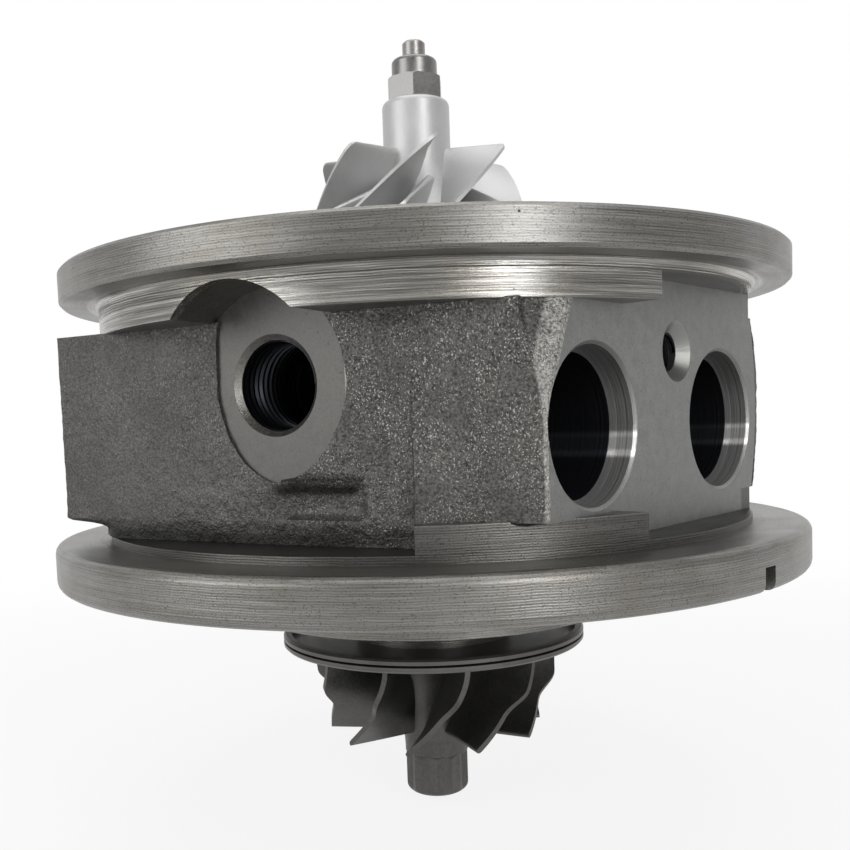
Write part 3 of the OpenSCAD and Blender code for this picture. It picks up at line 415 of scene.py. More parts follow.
@dataclass(frozen=True)
class Housing:
    """Sizes of the housing's machined faces, in millimetres and degrees as in the CAD source."""

    # Wall with the oil inlet, bent at the inlet's axis
    wall_az: float = -28.0
    wall_h: float = 38.6
    wall_bend: float = 5.0
    wall_bent_h: float = 39.2
    foot_undercut: float = 0.3
    # Face of the oil drain and its two screw holes
    drain_az: float = -118.0
    drain_h: float = 36.3
    drain_z: float = 22.3
    drain_bolt: float = 20.0
    # Water pad with its two ports and its screw hole
    pad_az: float = 49.75
    pad_h: float = 41.0
    port_z: float = 20.1
    port_s: Pair = (-18.8, 14.4)
    port_r: float = 9.3
    seat_d: float = 3.2
    screw_s: float = 1.4
    screw_z: float = 29.0
    screw_r: float = 2.5
    open_s: float = -12.0
    # Face and bore of the oil inlet
    inlet_h: float = 38.5
    inlet_z: float = 26.2
    inlet_r: float = 5.5
    spotface_r: float = 11.8
    # Turned necks and the barrel of the casting
    neck_r: float = 47.4
    casting_r: float = 48.6
    barrel: float = 0.9
    # Leaning corner between the wall and the pad
    corner_r: float = 53.7
    corner_az: float = 14.0
    corner_lean: float = 14.0
    corner_lean_z: float = 22.0
    # Heights of the casting and of the flanges' inner faces
    low_z: float = 10.0
    high_z: float = 34.3
    flange_low: float = 5.9
    flange_high: float = 38.65
    # Left end of the band and step of the shoulders
    band_az: float = -2.0
    shoulder: float = 1.0

    def corner_edge(self) -> float:
        """Distance from the axis of the corner between the bent wall and the pad."""
        turn = math.radians(self.pad_az - self.wall_az - self.wall_bend)
        return math.hypot(self.pad_h, (self.wall_bent_h - self.pad_h * math.cos(turn)) / math.sin(turn))


HOUSING = Housing()


def outward(azimuth: float) -> Vector:
    """Unit vector that points out of the part at an azimuth in degrees."""
    a = math.radians(azimuth)
    return Vector((math.sin(a), -math.cos(a), 0.0))


def along(azimuth: float) -> Vector:
    """Unit vector along a face at an azimuth in degrees."""
    a = math.radians(azimuth)
    return Vector((math.cos(a), math.sin(a), 0.0))


@dataclass(frozen=True)
class CastIron:
    """Sand-cast iron skin: dark, grainy and full of small bright facets.

    Attributes:
        name: Name of the material.
        colour: Colour of the grain.
        pit: Colour between the grains.
        spark: Colour of the bright facets.
        grain: Size of a grain in millimetres.
        depth: Depth of the grain in millimetres.
        patch: Size of the areas that have more bright facets.
        cloud: Size of the lighter and darker areas.
        bright_x: Places across the part between which the facets get brighter.
        bright_z: Heights between which they get brighter.
        shade_run: Ends of the painted shade line under the oil inlet, along the wall.
        shade_z: Its lowest and highest height.
        foot_z: Heights over the casting's lower edge between which the painted shade at the foot fades.
        foot_x: Places across the part between which that painted shade gets thinner.
        front: Distances of the wall from the axis between which all painted shade sets in.
        lit_strip_depth: Depth of the painted light strip on the leaning corner, behind the water pad's
            face.
        lit_strip_top: Extra depth of that strip near the upper flange.
        lit_strip_z: Heights between which the strip widens.
        lit_strip_edge: Width of the strip's soft edge.
        lit_strip_x: Places across the part between which the strip ends.
    """

    name: str = "cast_iron_skin"
    colour: Colour = (0.12, 0.117, 0.11)
    pit: Colour = (0.034, 0.033, 0.033)
    spark: Colour = (0.46, 0.445, 0.415)
    grain: float = 0.34
    depth: float = 0.16
    patch: float = 5.0
    cloud: float = 9.0
    bright_x: Pair = (-34.0, -6.0)
    bright_z: Pair = (8.0, 26.0)
    shade_run: Pair = (-0.5, 11.0)
    shade_z: Pair = (12.9, 14.2)
    foot_z: Pair = (-2.2, -1.2)
    foot_x: Pair = (-12.0, 2.0)
    front: Pair = (30.0, 31.0)
    lit_strip_depth: float = 0.65
    lit_strip_top: float = 1.15
    lit_strip_z: Pair = (21.0, 29.0)
    lit_strip_edge: float = 0.35
    lit_strip_x: Pair = (30.0, 31.0)

    def painted_shade(self, graph: Graph) -> Value:
        """Finds the painted shade under the oil inlet's overhanging face and at the casting's foot.

        Args:
            graph: Tree of the material.

        Returns:
            Mask of the painted shade.
        """
        x, y, z = graph.axes()
        out, side = outward(HOUSING.wall_az), along(HOUSING.wall_az)
        run = x * side.x + y * side.y
        wall = x * out.x + y * out.y
        # Painted shade under the overhanging lower edge of the oil inlet's face.
        line = run.within(*self.shade_run, 1.0) * z.within(*self.shade_z, 0.5)
        # Painted shade at the casting's foot, where it meets the lower flange.
        low, high = (HOUSING.low_z + rise for rise in self.foot_z)
        foot = (1 - z.rise(low, high)) * (1 - x.rise(*self.foot_x) * 0.6)
        return graph.math("MAXIMUM", line, foot * 0.9) * wall.rise(*self.front)

    def painted_light_strip(self, graph: Graph) -> Value:
        """Finds the strip on the leaning corner beside the water pad, which gets a painted highlight.

        Args:
            graph: Tree of the material.

        Returns:
            Mask of the strip.
        """
        x, y, z = graph.axes()
        pad = outward(HOUSING.pad_az)
        near = x * pad.x + y * pad.y + z.rise(*self.lit_strip_z) * self.lit_strip_top
        start = HOUSING.pad_h - self.lit_strip_depth
        return near.rise(start, start + self.lit_strip_edge) * (1 - x.rise(*self.lit_strip_x))

    def material(self) -> bpy.types.Material:
        """Builds the material.

        Returns:
            The material.
        """
        made = bpy.data.materials.new(self.name)
        graph = Graph(made)
        x, _, z = graph.axes()
        painted_shade, strip = self.painted_shade(graph), self.painted_light_strip(graph)
        coarse = graph.noise(self.grain * 2.6, 2.0)
        fine = graph.noise(self.grain, 2.0, 0.6)
        # The painted light strip on the leaning corner also gets more glints.
        glint = graph.noise(self.grain * 0.6, 1.0, 0.5, (1.0, 1.0, 0.9)) + strip * 0.05
        patch = graph.noise(self.patch, 2.0)
        clouds = graph.noise(self.cloud, 3.0)
        bright = (x.rise(*self.bright_x) * 0.75 + 0.25) * (z.rise(*self.bright_z) * 0.4 + 0.6)
        spark = glint.rise(0.56, 0.72) * patch.rise(0.3, 0.58) * bright * (1 - painted_shade)
        contrast = (fine - 0.5) * (bright * 0.65 + 0.35) + 0.52
        colour = graph.colour(contrast.rise(0.3, 0.68), self.pit, self.colour)
        # Painted shade darkens the skin, and the strip on the leaning corner gets a painted highlight.
        light = (clouds * 0.7 + 0.65) * (1 - painted_shade * 0.8) * (strip * 1.7 + 1)
        colour = graph.colour(spark, graph.tint(colour, light), self.spark)
        rough = 0.52 - spark * 0.15 - (clouds - 0.5) * 0.15
        height = (fine * 0.9 + coarse * 1.1 + spark * 0.25) * self.depth
        graph.surface(colour, 0.75, rough, height)
        return made


@dataclass(frozen=True)
class Zones:
    """Masks and places of the housing's machined faces.

    Attributes:
        ports: Walls of the two water ports.
        seats: Wider outer part of those walls.
        low: Height over the ports' axes in millimetres.
        pad_out: Distance from the rotor axis across the water pad in millimetres.
        screw: Countersink of the pad's screw hole.
        pocket: Wall of the oil inlet's bore.
        flat: Flat milled faces.
        faced: Face around the oil inlet.
        neck: Turned neck under the upper flange.
        band: Turned band over the lower flange.
        ledge: Step at the band's foot.
    """

    ports: Value
    seats: Value
    low: Value
    pad_out: Value
    screw: Value
    pocket: Value
    flat: Value
    faced: Value
    neck: Value
    band: Value
    ledge: Value


@dataclass(frozen=True)
class Marks:
    """Patterns that the tools have left.

    Attributes:
        clouds: Lighter and darker areas.
        fine: Fine grain.
        specks: Small dark specks.
        tool: Short lathe marks.
        band: Long lathe marks.
        feed: Feed lines of the lathe.
        rings: Rings of the boring tool.
        swirl: Swirls of the milling cutter.
        pores: Open pores of the casting.
    """

    clouds: Value
    fine: Value
    specks: Value
    tool: Value
    band: Value
    feed: Value
    rings: Value
    swirl: Value
    pores: Value


@dataclass(frozen=True)
class MachinedIron:
    """Machined faces of the iron housing, each with the marks of its own tool.

    Attributes:
        name: Name of the material.
        turned: Colour of the turned rims and necks.
        milled: Colour of the water pad.
        faced: Colour of the oil inlet's face.
        bored: Colour of the ports' seats.
        deep: Near-black colour deep inside the bores, painted shade.
        warm: Warm tint of rubbed spots.
        pit: Colour of pits.
        feed: Pitch of the lathe's feed lines in millimetres.
        face_t: Half the thickness of the layer that counts as a flat face.
        gap: Depth under the water pad's face at which its holes start.
        port_end: Distance from the axis at which the ports' walls end.
        chamfer: Width of the ports' chamfers.
        screw_end: Distance from the axis at which the countersink's mask ends.
        screw_r: Radius of the countersink's mask.
        pocket: Distances from the axis between which the inlet's bore is dark with painted shade.
        turned_r: Radii between which the necks and the band lie.
        glints: Bands of light on the ports' walls: lowest and highest place, soft edge, strength.
        dim: Heights over the ports' axes between which painted shade darkens their walls.
    """

    name: str = "machined_iron"
    turned: Colour = (0.22, 0.217, 0.205)
    milled: Colour = (0.235, 0.235, 0.226)
    faced: Colour = (0.128, 0.126, 0.12)
    bored: Colour = (0.46, 0.455, 0.45)
    deep: Colour = (0.018, 0.019, 0.023)
    warm: Colour = (0.2, 0.19, 0.172)
    pit: Colour = (0.035, 0.033, 0.031)
    feed: float = 0.29
    face_t: float = 0.03
    gap: float = 0.05
    port_end: float = 16.0
    chamfer: float = 0.5
    screw_end: float = 30.0
    screw_r: float = 5.0
    pocket: Pair = (20.0, 37.6)
    turned_r: Pair = (46.0, 49.0)
    glints: tuple[tuple[float, ...], ...] = (
        (-3.8, -0.9, 0.4, 0.7),
        (-3.8, -3.1, 0.3, 1.3),
        (-1.5, -0.9, 0.25, 0.6),
    )
    dim: Pair = (2.0, 8.0)

    def zones(self, graph: Graph) -> Zones:
        """Finds the machined faces by their places in the CAD source.

        Args:
            graph: Tree of the material.

        Returns:
            Masks of the faces.
        """
        size = HOUSING
        x, y, z = graph.axes()
        radius = graph.radius()

        def face(azimuth: float) -> tuple[Value, Value]:
            """Distance from the axis and place along a face at an azimuth."""
            out, run = outward(azimuth), along(azimuth)
            return x * out.x + y * out.y, x * run.x + y * run.y

        def reach(run: Value, height: float) -> Value:
            """Distance from the axis of a hole at a height."""
            rise = z - height
            return (run * run + rise * rise).root()

        def layer(place: Value, middle: float, edge: float) -> Value:
            """Thin layer around a place."""
            return place.within(middle - self.face_t, middle + self.face_t, edge)

        pad_out, pad_run = face(size.pad_az)
        inlet_out, inlet_run = face(size.wall_az)
        inside = size.pad_h - self.gap
        rim = size.port_r + self.chamfer
        port = graph.math("MINIMUM", *(reach(pad_run - s, size.port_z) for s in size.port_s))
        screw = reach(pad_run - size.screw_s, size.screw_z)
        inlet = reach(inlet_run, size.inlet_z)
        seat_end = size.pad_h - size.seat_d

        tall = z.within(size.low_z, size.high_z, 0.02)
        open_side = pad_run.rise(size.open_s - 0.02, size.open_s + 0.02)
        wide = open_side * z.within(size.flange_low, size.flange_high, 0.02)
        places = (
            (pad_out, size.pad_h, graph.math("MAXIMUM", tall, wide)),
            (inlet_out, size.inlet_h, 1 - inlet.rise(size.spotface_r + 0.02, size.spotface_r + 0.06)),
            (face(size.drain_az)[0], size.drain_h, tall),
        )
        flat = sum(layer(out, height, 0.005) * there for out, height, there in places)
        flat = graph.math("MINIMUM", flat, 1.0)
        turned = radius.within(*self.turned_r, 0.2)
        foot = layer(z, size.flange_low + size.shoulder, 0.01)
        return Zones(
            ports=(1 - port.rise(rim, rim + 0.1)) * pad_out.within(self.port_end, inside, 0.01),
            seats=pad_out.rise(seat_end - 0.1, seat_end + 0.1),
            low=z - size.port_z,
            pad_out=pad_out,
            screw=(1 - screw.rise(self.screw_r, self.screw_r + 0.1))
            * pad_out.within(self.screw_end, inside, 0.01),
            pocket=(1 - inlet.rise(size.inlet_r + 0.1, size.inlet_r + 0.2))
            * inlet_out.within(*self.pocket, 0.1),
            flat=flat,
            faced=1 - inlet.rise(size.spotface_r, size.spotface_r + 0.3),
            neck=turned * z.within(size.high_z - 0.1, size.flange_high, 0.05) * (1 - flat),
            band=turned * z.within(size.flange_low, size.low_z, 0.05),
            ledge=foot * (1 - radius.rise(size.neck_r - 0.3, size.neck_r - 0.1)),
        )

    def marks(self, graph: Graph, zones: Zones) -> Marks:
        """Draws the tool marks.

        Args:
            graph: Tree of the material.
            zones: Masks of the faces.

        Returns:
            The patterns.
        """
        _, _, z = graph.axes()
        sway = graph.noise(4.0, 1.0) * 0.3
        holes = 1 - graph.cells(1.4).rise(0.06, 0.15)
        return Marks(
            clouds=graph.noise(9.0, 4.0),
            fine=graph.noise(0.3, 3.0, 0.6),
            specks=graph.noise(0.22, 1.0, 0.5, (1.0, 1.0, 1.5)),
            tool=graph.round_noise(9.0, 0.16),
            band=graph.round_noise(30.0, 0.5, 4.0),
            feed=((z + graph.radius() + sway) * (2 * math.pi / self.feed)).wave(),
            rings=graph.line_noise(zones.pad_out, 0.3, 3.0),
            swirl=graph.noise(1.8, 4.0, 0.6),
            pores=holes * graph.noise(3.0, 2.0).rise(0.62, 0.68),
        )

    def turned_paint(self, graph: Graph, zones: Zones, marks: Marks) -> Value:
        """Colour of the turned rims and necks.

        Args:
            graph: Tree of the material.
            zones: Masks of the faces.
            marks: Patterns of the tools.

        Returns:
            The colour.
        """
        colour = graph.colour(marks.clouds.rise(0.38, 0.66), self.turned, self.warm)
        colour = graph.tint(colour, marks.tool + marks.band * 0.6 + 0.13 + marks.feed * 0.12)
        colour = graph.tint(colour, zones.neck * (marks.band.rise(0.42, 0.62) * 0.9 + 0.05) + 1)
        return graph.colour(marks.specks.rise(0.58, 0.7) * 0.55 * (1 - zones.neck), colour, self.pit)

    def milled_paint(self, graph: Graph, zones: Zones, marks: Marks) -> Value:
        """Colour of the flat faces.

        Args:
            graph: Tree of the material.
            zones: Masks of the faces.
            marks: Patterns of the tools.

        Returns:
            The colour.
        """
        colour = graph.colour(zones.faced, self.milled, self.faced)
        colour = graph.tint(colour, (marks.swirl * 0.8 + 0.6) * (marks.fine * 0.35 + 0.78))
        return graph.colour(marks.specks.rise(0.64, 0.72) * 0.5, colour, self.pit)

    def port_paint(self, graph: Graph, zones: Zones, marks: Marks) -> Value:
        """Colour of the ports' walls, with painted bands of light that a bored wall throws back,
        painted shade towards their tops and near-black painted shade deep inside.

        Args:
            graph: Tree of the material.
            zones: Masks of the faces.
            marks: Patterns of the tools.

        Returns:
            The colour.
        """
        glint = sum(zones.low.within(*place) * power for *place, power in self.glints)
        # Painted shade darkens the upper part of the walls; the deep part is painted near black.
        light = (marks.rings * 0.9 + 0.5) * (glint + 0.65) * (1 - zones.low.rise(*self.dim) * 0.45)
        return graph.tint(graph.colour(zones.seats, self.deep, self.bored), light)

    def material(self) -> bpy.types.Material:
        """Builds the material.

        Returns:
            The material.
        """
        made = bpy.data.materials.new(self.name)
        graph = Graph(made)
        zones = self.zones(graph)
        marks = self.marks(graph, zones)
        flat, ports = zones.flat, zones.ports

        colour = self.turned_paint(graph, zones, marks)
        colour = graph.colour(flat, colour, self.milled_paint(graph, zones, marks))
        # Painted shade on the ledge at the band's foot; the band over the lower flange is also made
        # darker.
        colour = graph.tint(colour, (1 - zones.band * 0.45) * (1 - zones.ledge * 0.7))
        colour = graph.colour(zones.screw, colour, self.milled)
        colour = graph.colour(ports, colour, self.port_paint(graph, zones, marks))
        # Painted shade: the oil inlet's bore is painted near black.
        colour = graph.colour(zones.pocket, colour, self.deep)
        colour = graph.colour(marks.pores * (1 - ports) * (1 - flat), colour, self.pit)

        rough = 0.36 + (marks.tool - 0.5) * 0.25 + (marks.clouds - 0.5) * 0.15 - zones.neck * 0.12
        rough = rough * (1 - flat) + flat * (0.5 + (marks.swirl - 0.5) * 0.3)
        rough = rough * (1 - ports) + ports * (0.3 + marks.rings * 0.2)

        height = marks.tool * 0.03 + marks.specks * 0.01 + zones.neck * marks.band * 0.05
        height = (height + marks.feed * 0.004) * (1 - flat - ports)
        height = height + flat * (marks.swirl * 0.006 + marks.specks * 0.012)
        height = height + ports * marks.rings * 0.06 - marks.pores * 0.08
        graph.surface(colour, 0.92 - ports * 0.5, rough, height)
        return made


def make_object(
    name: str, points: Sequence[Point], faces: Sequence[Sequence[int]], sharp: float = SHARP
) -> Piece:
    """Makes a smooth mesh piece from points in millimetres.

    Args:
        name: Name of the piece.
        points: Corners in millimetres.
        faces: Corner numbers of each face.
        sharp: Angle in degrees from which an edge stays sharp.

    Returns:
        The piece, at the origin.
    """
    mesh = bpy.data.meshes.new(name)
    mesh.from_pydata([tuple(c * MM for c in p) for p in points], [], [list(f) for f in faces])
    work = bmesh.new()
    work.from_mesh(mesh)
    bmesh.ops.remove_doubles(work, verts=work.verts, dist=MERGE)
    bmesh.ops.recalc_face_normals(work, faces=work.faces)
    work.to_mesh(mesh)
    work.free()
    mesh.shade_smooth()
    mesh.set_sharp_from_angle(angle=math.radians(sharp))
    piece = bpy.data.objects.new(name, mesh)
    bpy.context.scene.collection.objects.link(piece)
    return piece


def loft(name: str, loops: Sequence[Sequence[Point]], sharp: float = SHARP) -> Piece:
    """Joins loops of equally many corners into a piece that is closed at both ends.

    Args:
        name: Name of the piece.
        loops: Corners in millimetres, loop after loop.
        sharp: Angle in degrees from which an edge stays sharp.

    Returns:
        The closed piece.
    """
    steps = len(loops[0])
    points = [corner for loop in loops for corner in loop]
    last = len(points) - steps
    faces = [tuple(range(steps)), tuple(range(last, len(points)))]
    for here in range(0, last, steps):
        there = here + steps
        for k in range(steps):
            n = (k + 1) % steps
            faces.append((here + k, there + k, there + n, here + n))
    return make_object(name, points, faces, sharp)


def revolve(name: str, profile: Sequence[Pair], steps: int, sharp: float) -> Piece:
    """Turns a closed half section about the rotor axis.

    Args:
        name: Name of the piece.
        profile: Corners as radius and height; the loop closes itself.
        steps: Number of steps around the axis.
        sharp: Angle in degrees from which an edge stays sharp.

    Returns:
        The closed piece.
    """
    count = len(profile)
    points = []
    for k in range(steps):
        a = 2 * math.pi * k / steps
        points += [(r * math.cos(a), r * math.sin(a), z) for r, z in profile]
    faces = []
    for k in range(steps):
        here, there = k * count, (k + 1) % steps * count
        for i in range(count):
            j = (i + 1) % count
            if max(profile[i][0], profile[j][0]) > 0.0:
                faces.append((here + i, here + j, there + j, there + i))
    return make_object(name, points, faces, sharp)


def take_mesh(piece: Piece, sharp: float) -> Piece:
    """Makes a piece's evaluated mesh its own and drops its modifiers.

    Args:
        piece: Piece with modifiers.
        sharp: Angle in degrees from which an edge stays sharp.

    Returns:
        The same piece as a plain mesh.
    """
    bpy.context.view_layer.update()
    graph = bpy.context.evaluated_depsgraph_get()
    mesh = bpy.data.meshes.new_from_object(piece.evaluated_get(graph))
    piece.modifiers.clear()
    old, piece.data = piece.data, mesh
    bpy.data.meshes.remove(old)
    mesh.name = piece.name
    mesh.shade_smooth()
    mesh.set_sharp_from_angle(angle=math.radians(sharp))
    return piece


def carve(piece: Piece, cutters: Sequence[Piece], sharp: float) -> Piece:
    """Cuts cutters out of a piece and removes them.

    Args:
        piece: Piece to cut.
        cutters: Closed meshes.
        sharp: Angle in degrees from which an edge stays sharp.

    Returns:
        The cut piece.
    """
    for cutter in cutters:
        cut = piece.modifiers.new("cut", "BOOLEAN")
        cut.operation = "DIFFERENCE"
        cut.solver = "EXACT"
        cut.object = cutter
    take_mesh(piece, sharp)
    for cutter in cutters:
        mesh = cutter.data
        bpy.data.objects.remove(cutter)
        bpy.data.meshes.remove(mesh)
    return piece


def drill(
    azimuth: float, run: float, height: float, radius: float, near: float, far: float
) -> Piece:
    """A round cutter that stands on a face.

    Args:
        azimuth: Azimuth of the face.
        run: Place along the face.
        height: Height of the cutter's axis.
        radius: Radius of the cutter.
        near: Distance of its inner end from the rotor axis.
        far: Distance of its outer end from the rotor axis.

    Returns:
        The cutter.
    """
    turns = [2 * math.pi * k / ROUND_STEPS for k in range(ROUND_STEPS)]
    circle = [(run + radius * math.cos(a), radius * math.sin(a)) for a in turns]
    return prism(azimuth, circle, height, near, far)


def prism(azimuth: float, outline: Sequence[Pair], height: float, near: float, far: float) -> Piece:
    """A cutter of any outline that stands on a face.

    Args:
        azimuth: Azimuth of the face.
        outline: Corners as place along the face and height over the middle.
        height: Height of the outline's middle.
        near: Distance of its inner end from the rotor axis.
        far: Distance of its outer end from the rotor axis.

    Returns:
        The cutter.
    """
    out, side = outward(azimuth), along(azimuth)
    loops = []
    for depth in (near, far):
        places = [(out * depth + side * run, height + rise) for run, rise in outline]
        loops.append([(place.x, place.y, z) for place, z in places])
    return loft("cutter", loops)


def block(azimuth: float, near: float, runs: Pair, heights: Pair) -> Piece:
    """A box-shaped cutter beyond a face.

    Args:
        azimuth: Azimuth of the face.
        near: Distance of the face from the rotor axis.
        runs: Lowest and highest place along the face.
        heights: Lowest and highest height.

    Returns:
        The cutter.
    """
    outline = [(runs[i], heights[j]) for i, j in ((0, 0), (1, 0), (1, 1), (0, 1))]
    return prism(azimuth, outline, 0.0, near, BEYOND)


def finish_piece(
    piece: Piece, material: bpy.types.Material, body: Body, slot: str, *nodes: str
) -> Piece:
    """Gives a piece its material and its place in the frame.

    Args:
        piece: Finished mesh.
        material: Its material.
        body: Body that it rides on.
        slot: Material slot of the record; not used.
        nodes: CAD nodes that it stands for.

    Returns:
        The piece.
    """
    piece.data.materials.clear()
    piece.data.materials.append(material)
    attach(piece, body.value)
    if nodes:
        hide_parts(*nodes)
    LOG.info("%s: %d faces on %s", piece.name, len(piece.data.polygons), body.value)
    return piece


def mix(a: float, b: float, t: float) -> float:
    """A value on the straight line from a to b."""
    return a + (b - a) * t


def ease(low: float, high: float, value: float) -> float:
    """Smooth step from 0 at low to 1 at high."""
    t = min(1.0, max(0.0, (value - low) / (high - low)))
    return t * t * (3 - 2 * t)


def ease_cosine(share: float) -> float:
    """Cosine step from 0 to 1 over a share from 0 to 1."""
    return 0.5 - 0.5 * math.cos(math.pi * min(1.0, max(0.0, share)))


def round_min(a: float, b: float, width: float) -> float:
    """Minimum of two values whose corner is rounded over a width."""
    h = max(width - abs(a - b), 0.0) / width
    return min(a, b) - h * h * width / 4


class Recipe(Tree):
    """A Geometry Nodes tree with named inputs."""

    def __init__(self, name: str) -> None:
        """Makes an empty tree with one geometry input and one geometry output.

        Args:
            name: Name of the tree.
        """
        super().__init__(bpy.data.node_groups.new(name, "GeometryNodeTree"))
        self.tree.interface.new_socket("Geometry", in_out="OUTPUT", socket_type="NodeSocketGeometry")
        self.tree.interface.new_socket("Geometry", in_out="INPUT", socket_type="NodeSocketGeometry")
        self.start = self.tree.nodes.new("NodeGroupInput")
        self.settings: dict[str, object] = {}

    def geometry(self) -> Value:
        """The geometry that the piece brings in."""
        return Value(self, self.start.outputs["Geometry"])

    def size(self, name: str, kind: str, value: object) -> Value:
        """Adds a named input.

        Args:
            name: Name of the input.
            kind: Blender's name of the socket type.
            value: Value that the modifier gets.

        Returns:
            The input's socket.
        """
        socket = self.tree.interface.new_socket(name, in_out="INPUT", socket_type=kind)
        self.settings[socket.identifier] = value
        return Value(self, self.start.outputs[name])

    def run(
        self, piece: Piece, shape: Value, material: bpy.types.Material, sharp: float = SHARP
    ) -> Piece:
        """Ends the tree, runs it on a piece and keeps the result as a plain mesh.

        Args:
            piece: Piece that the tree works on.
            shape: Geometry to give out.
            material: Material of the result.
            sharp: Angle in degrees from which an edge stays sharp.

        Returns:
            The same piece as a plain mesh.
        """
        real = self.add("GeometryNodeRealizeInstances", {}, {0: shape})
        painted = self.add("GeometryNodeSetMaterial", {}, {"Geometry": real, "Material": material})
        end = self.tree.nodes.new("NodeGroupOutput")
        self.tree.links.new(painted.socket, end.inputs["Geometry"])
        modifier = piece.modifiers.new("recipe", "NODES")
        modifier.node_group = self.tree
        for key, value in self.settings.items():
            modifier[key] = value
        return take_mesh(piece, sharp)


def spread_round(piece: Piece, count: int, material: bpy.types.Material) -> Piece:
    """Repeats a piece evenly around the rotor axis.

    Args:
        piece: Piece to repeat.
        count: Number of copies.
        material: Material of the copies.

    Returns:
        The same piece with all its copies.
    """
    recipe = Recipe("spread_round")
    copies = recipe.size("Count", "NodeSocketInt", count)
    points = recipe.add("GeometryNodeMeshLine", {}, {"Count": copies, "Offset": (0.0, 0.0, 0.0)})
    place = recipe.add("GeometryNodeInputIndex", {}, {})
    turn = place * (2 * math.pi) / copies
    angle = recipe.add("ShaderNodeCombineXYZ", {}, {"Z": turn})
    values = {"Points": points, "Instance": recipe.geometry(), "Rotation": angle}
    shape = recipe.add("GeometryNodeInstanceOnPoints", {}, values)
    return recipe.run(piece, shape, material)


def wrap_round(azimuth: float) -> float:
    """The same azimuth between -180 and 180 degrees."""
    return (azimuth + 180) % 360 - 180


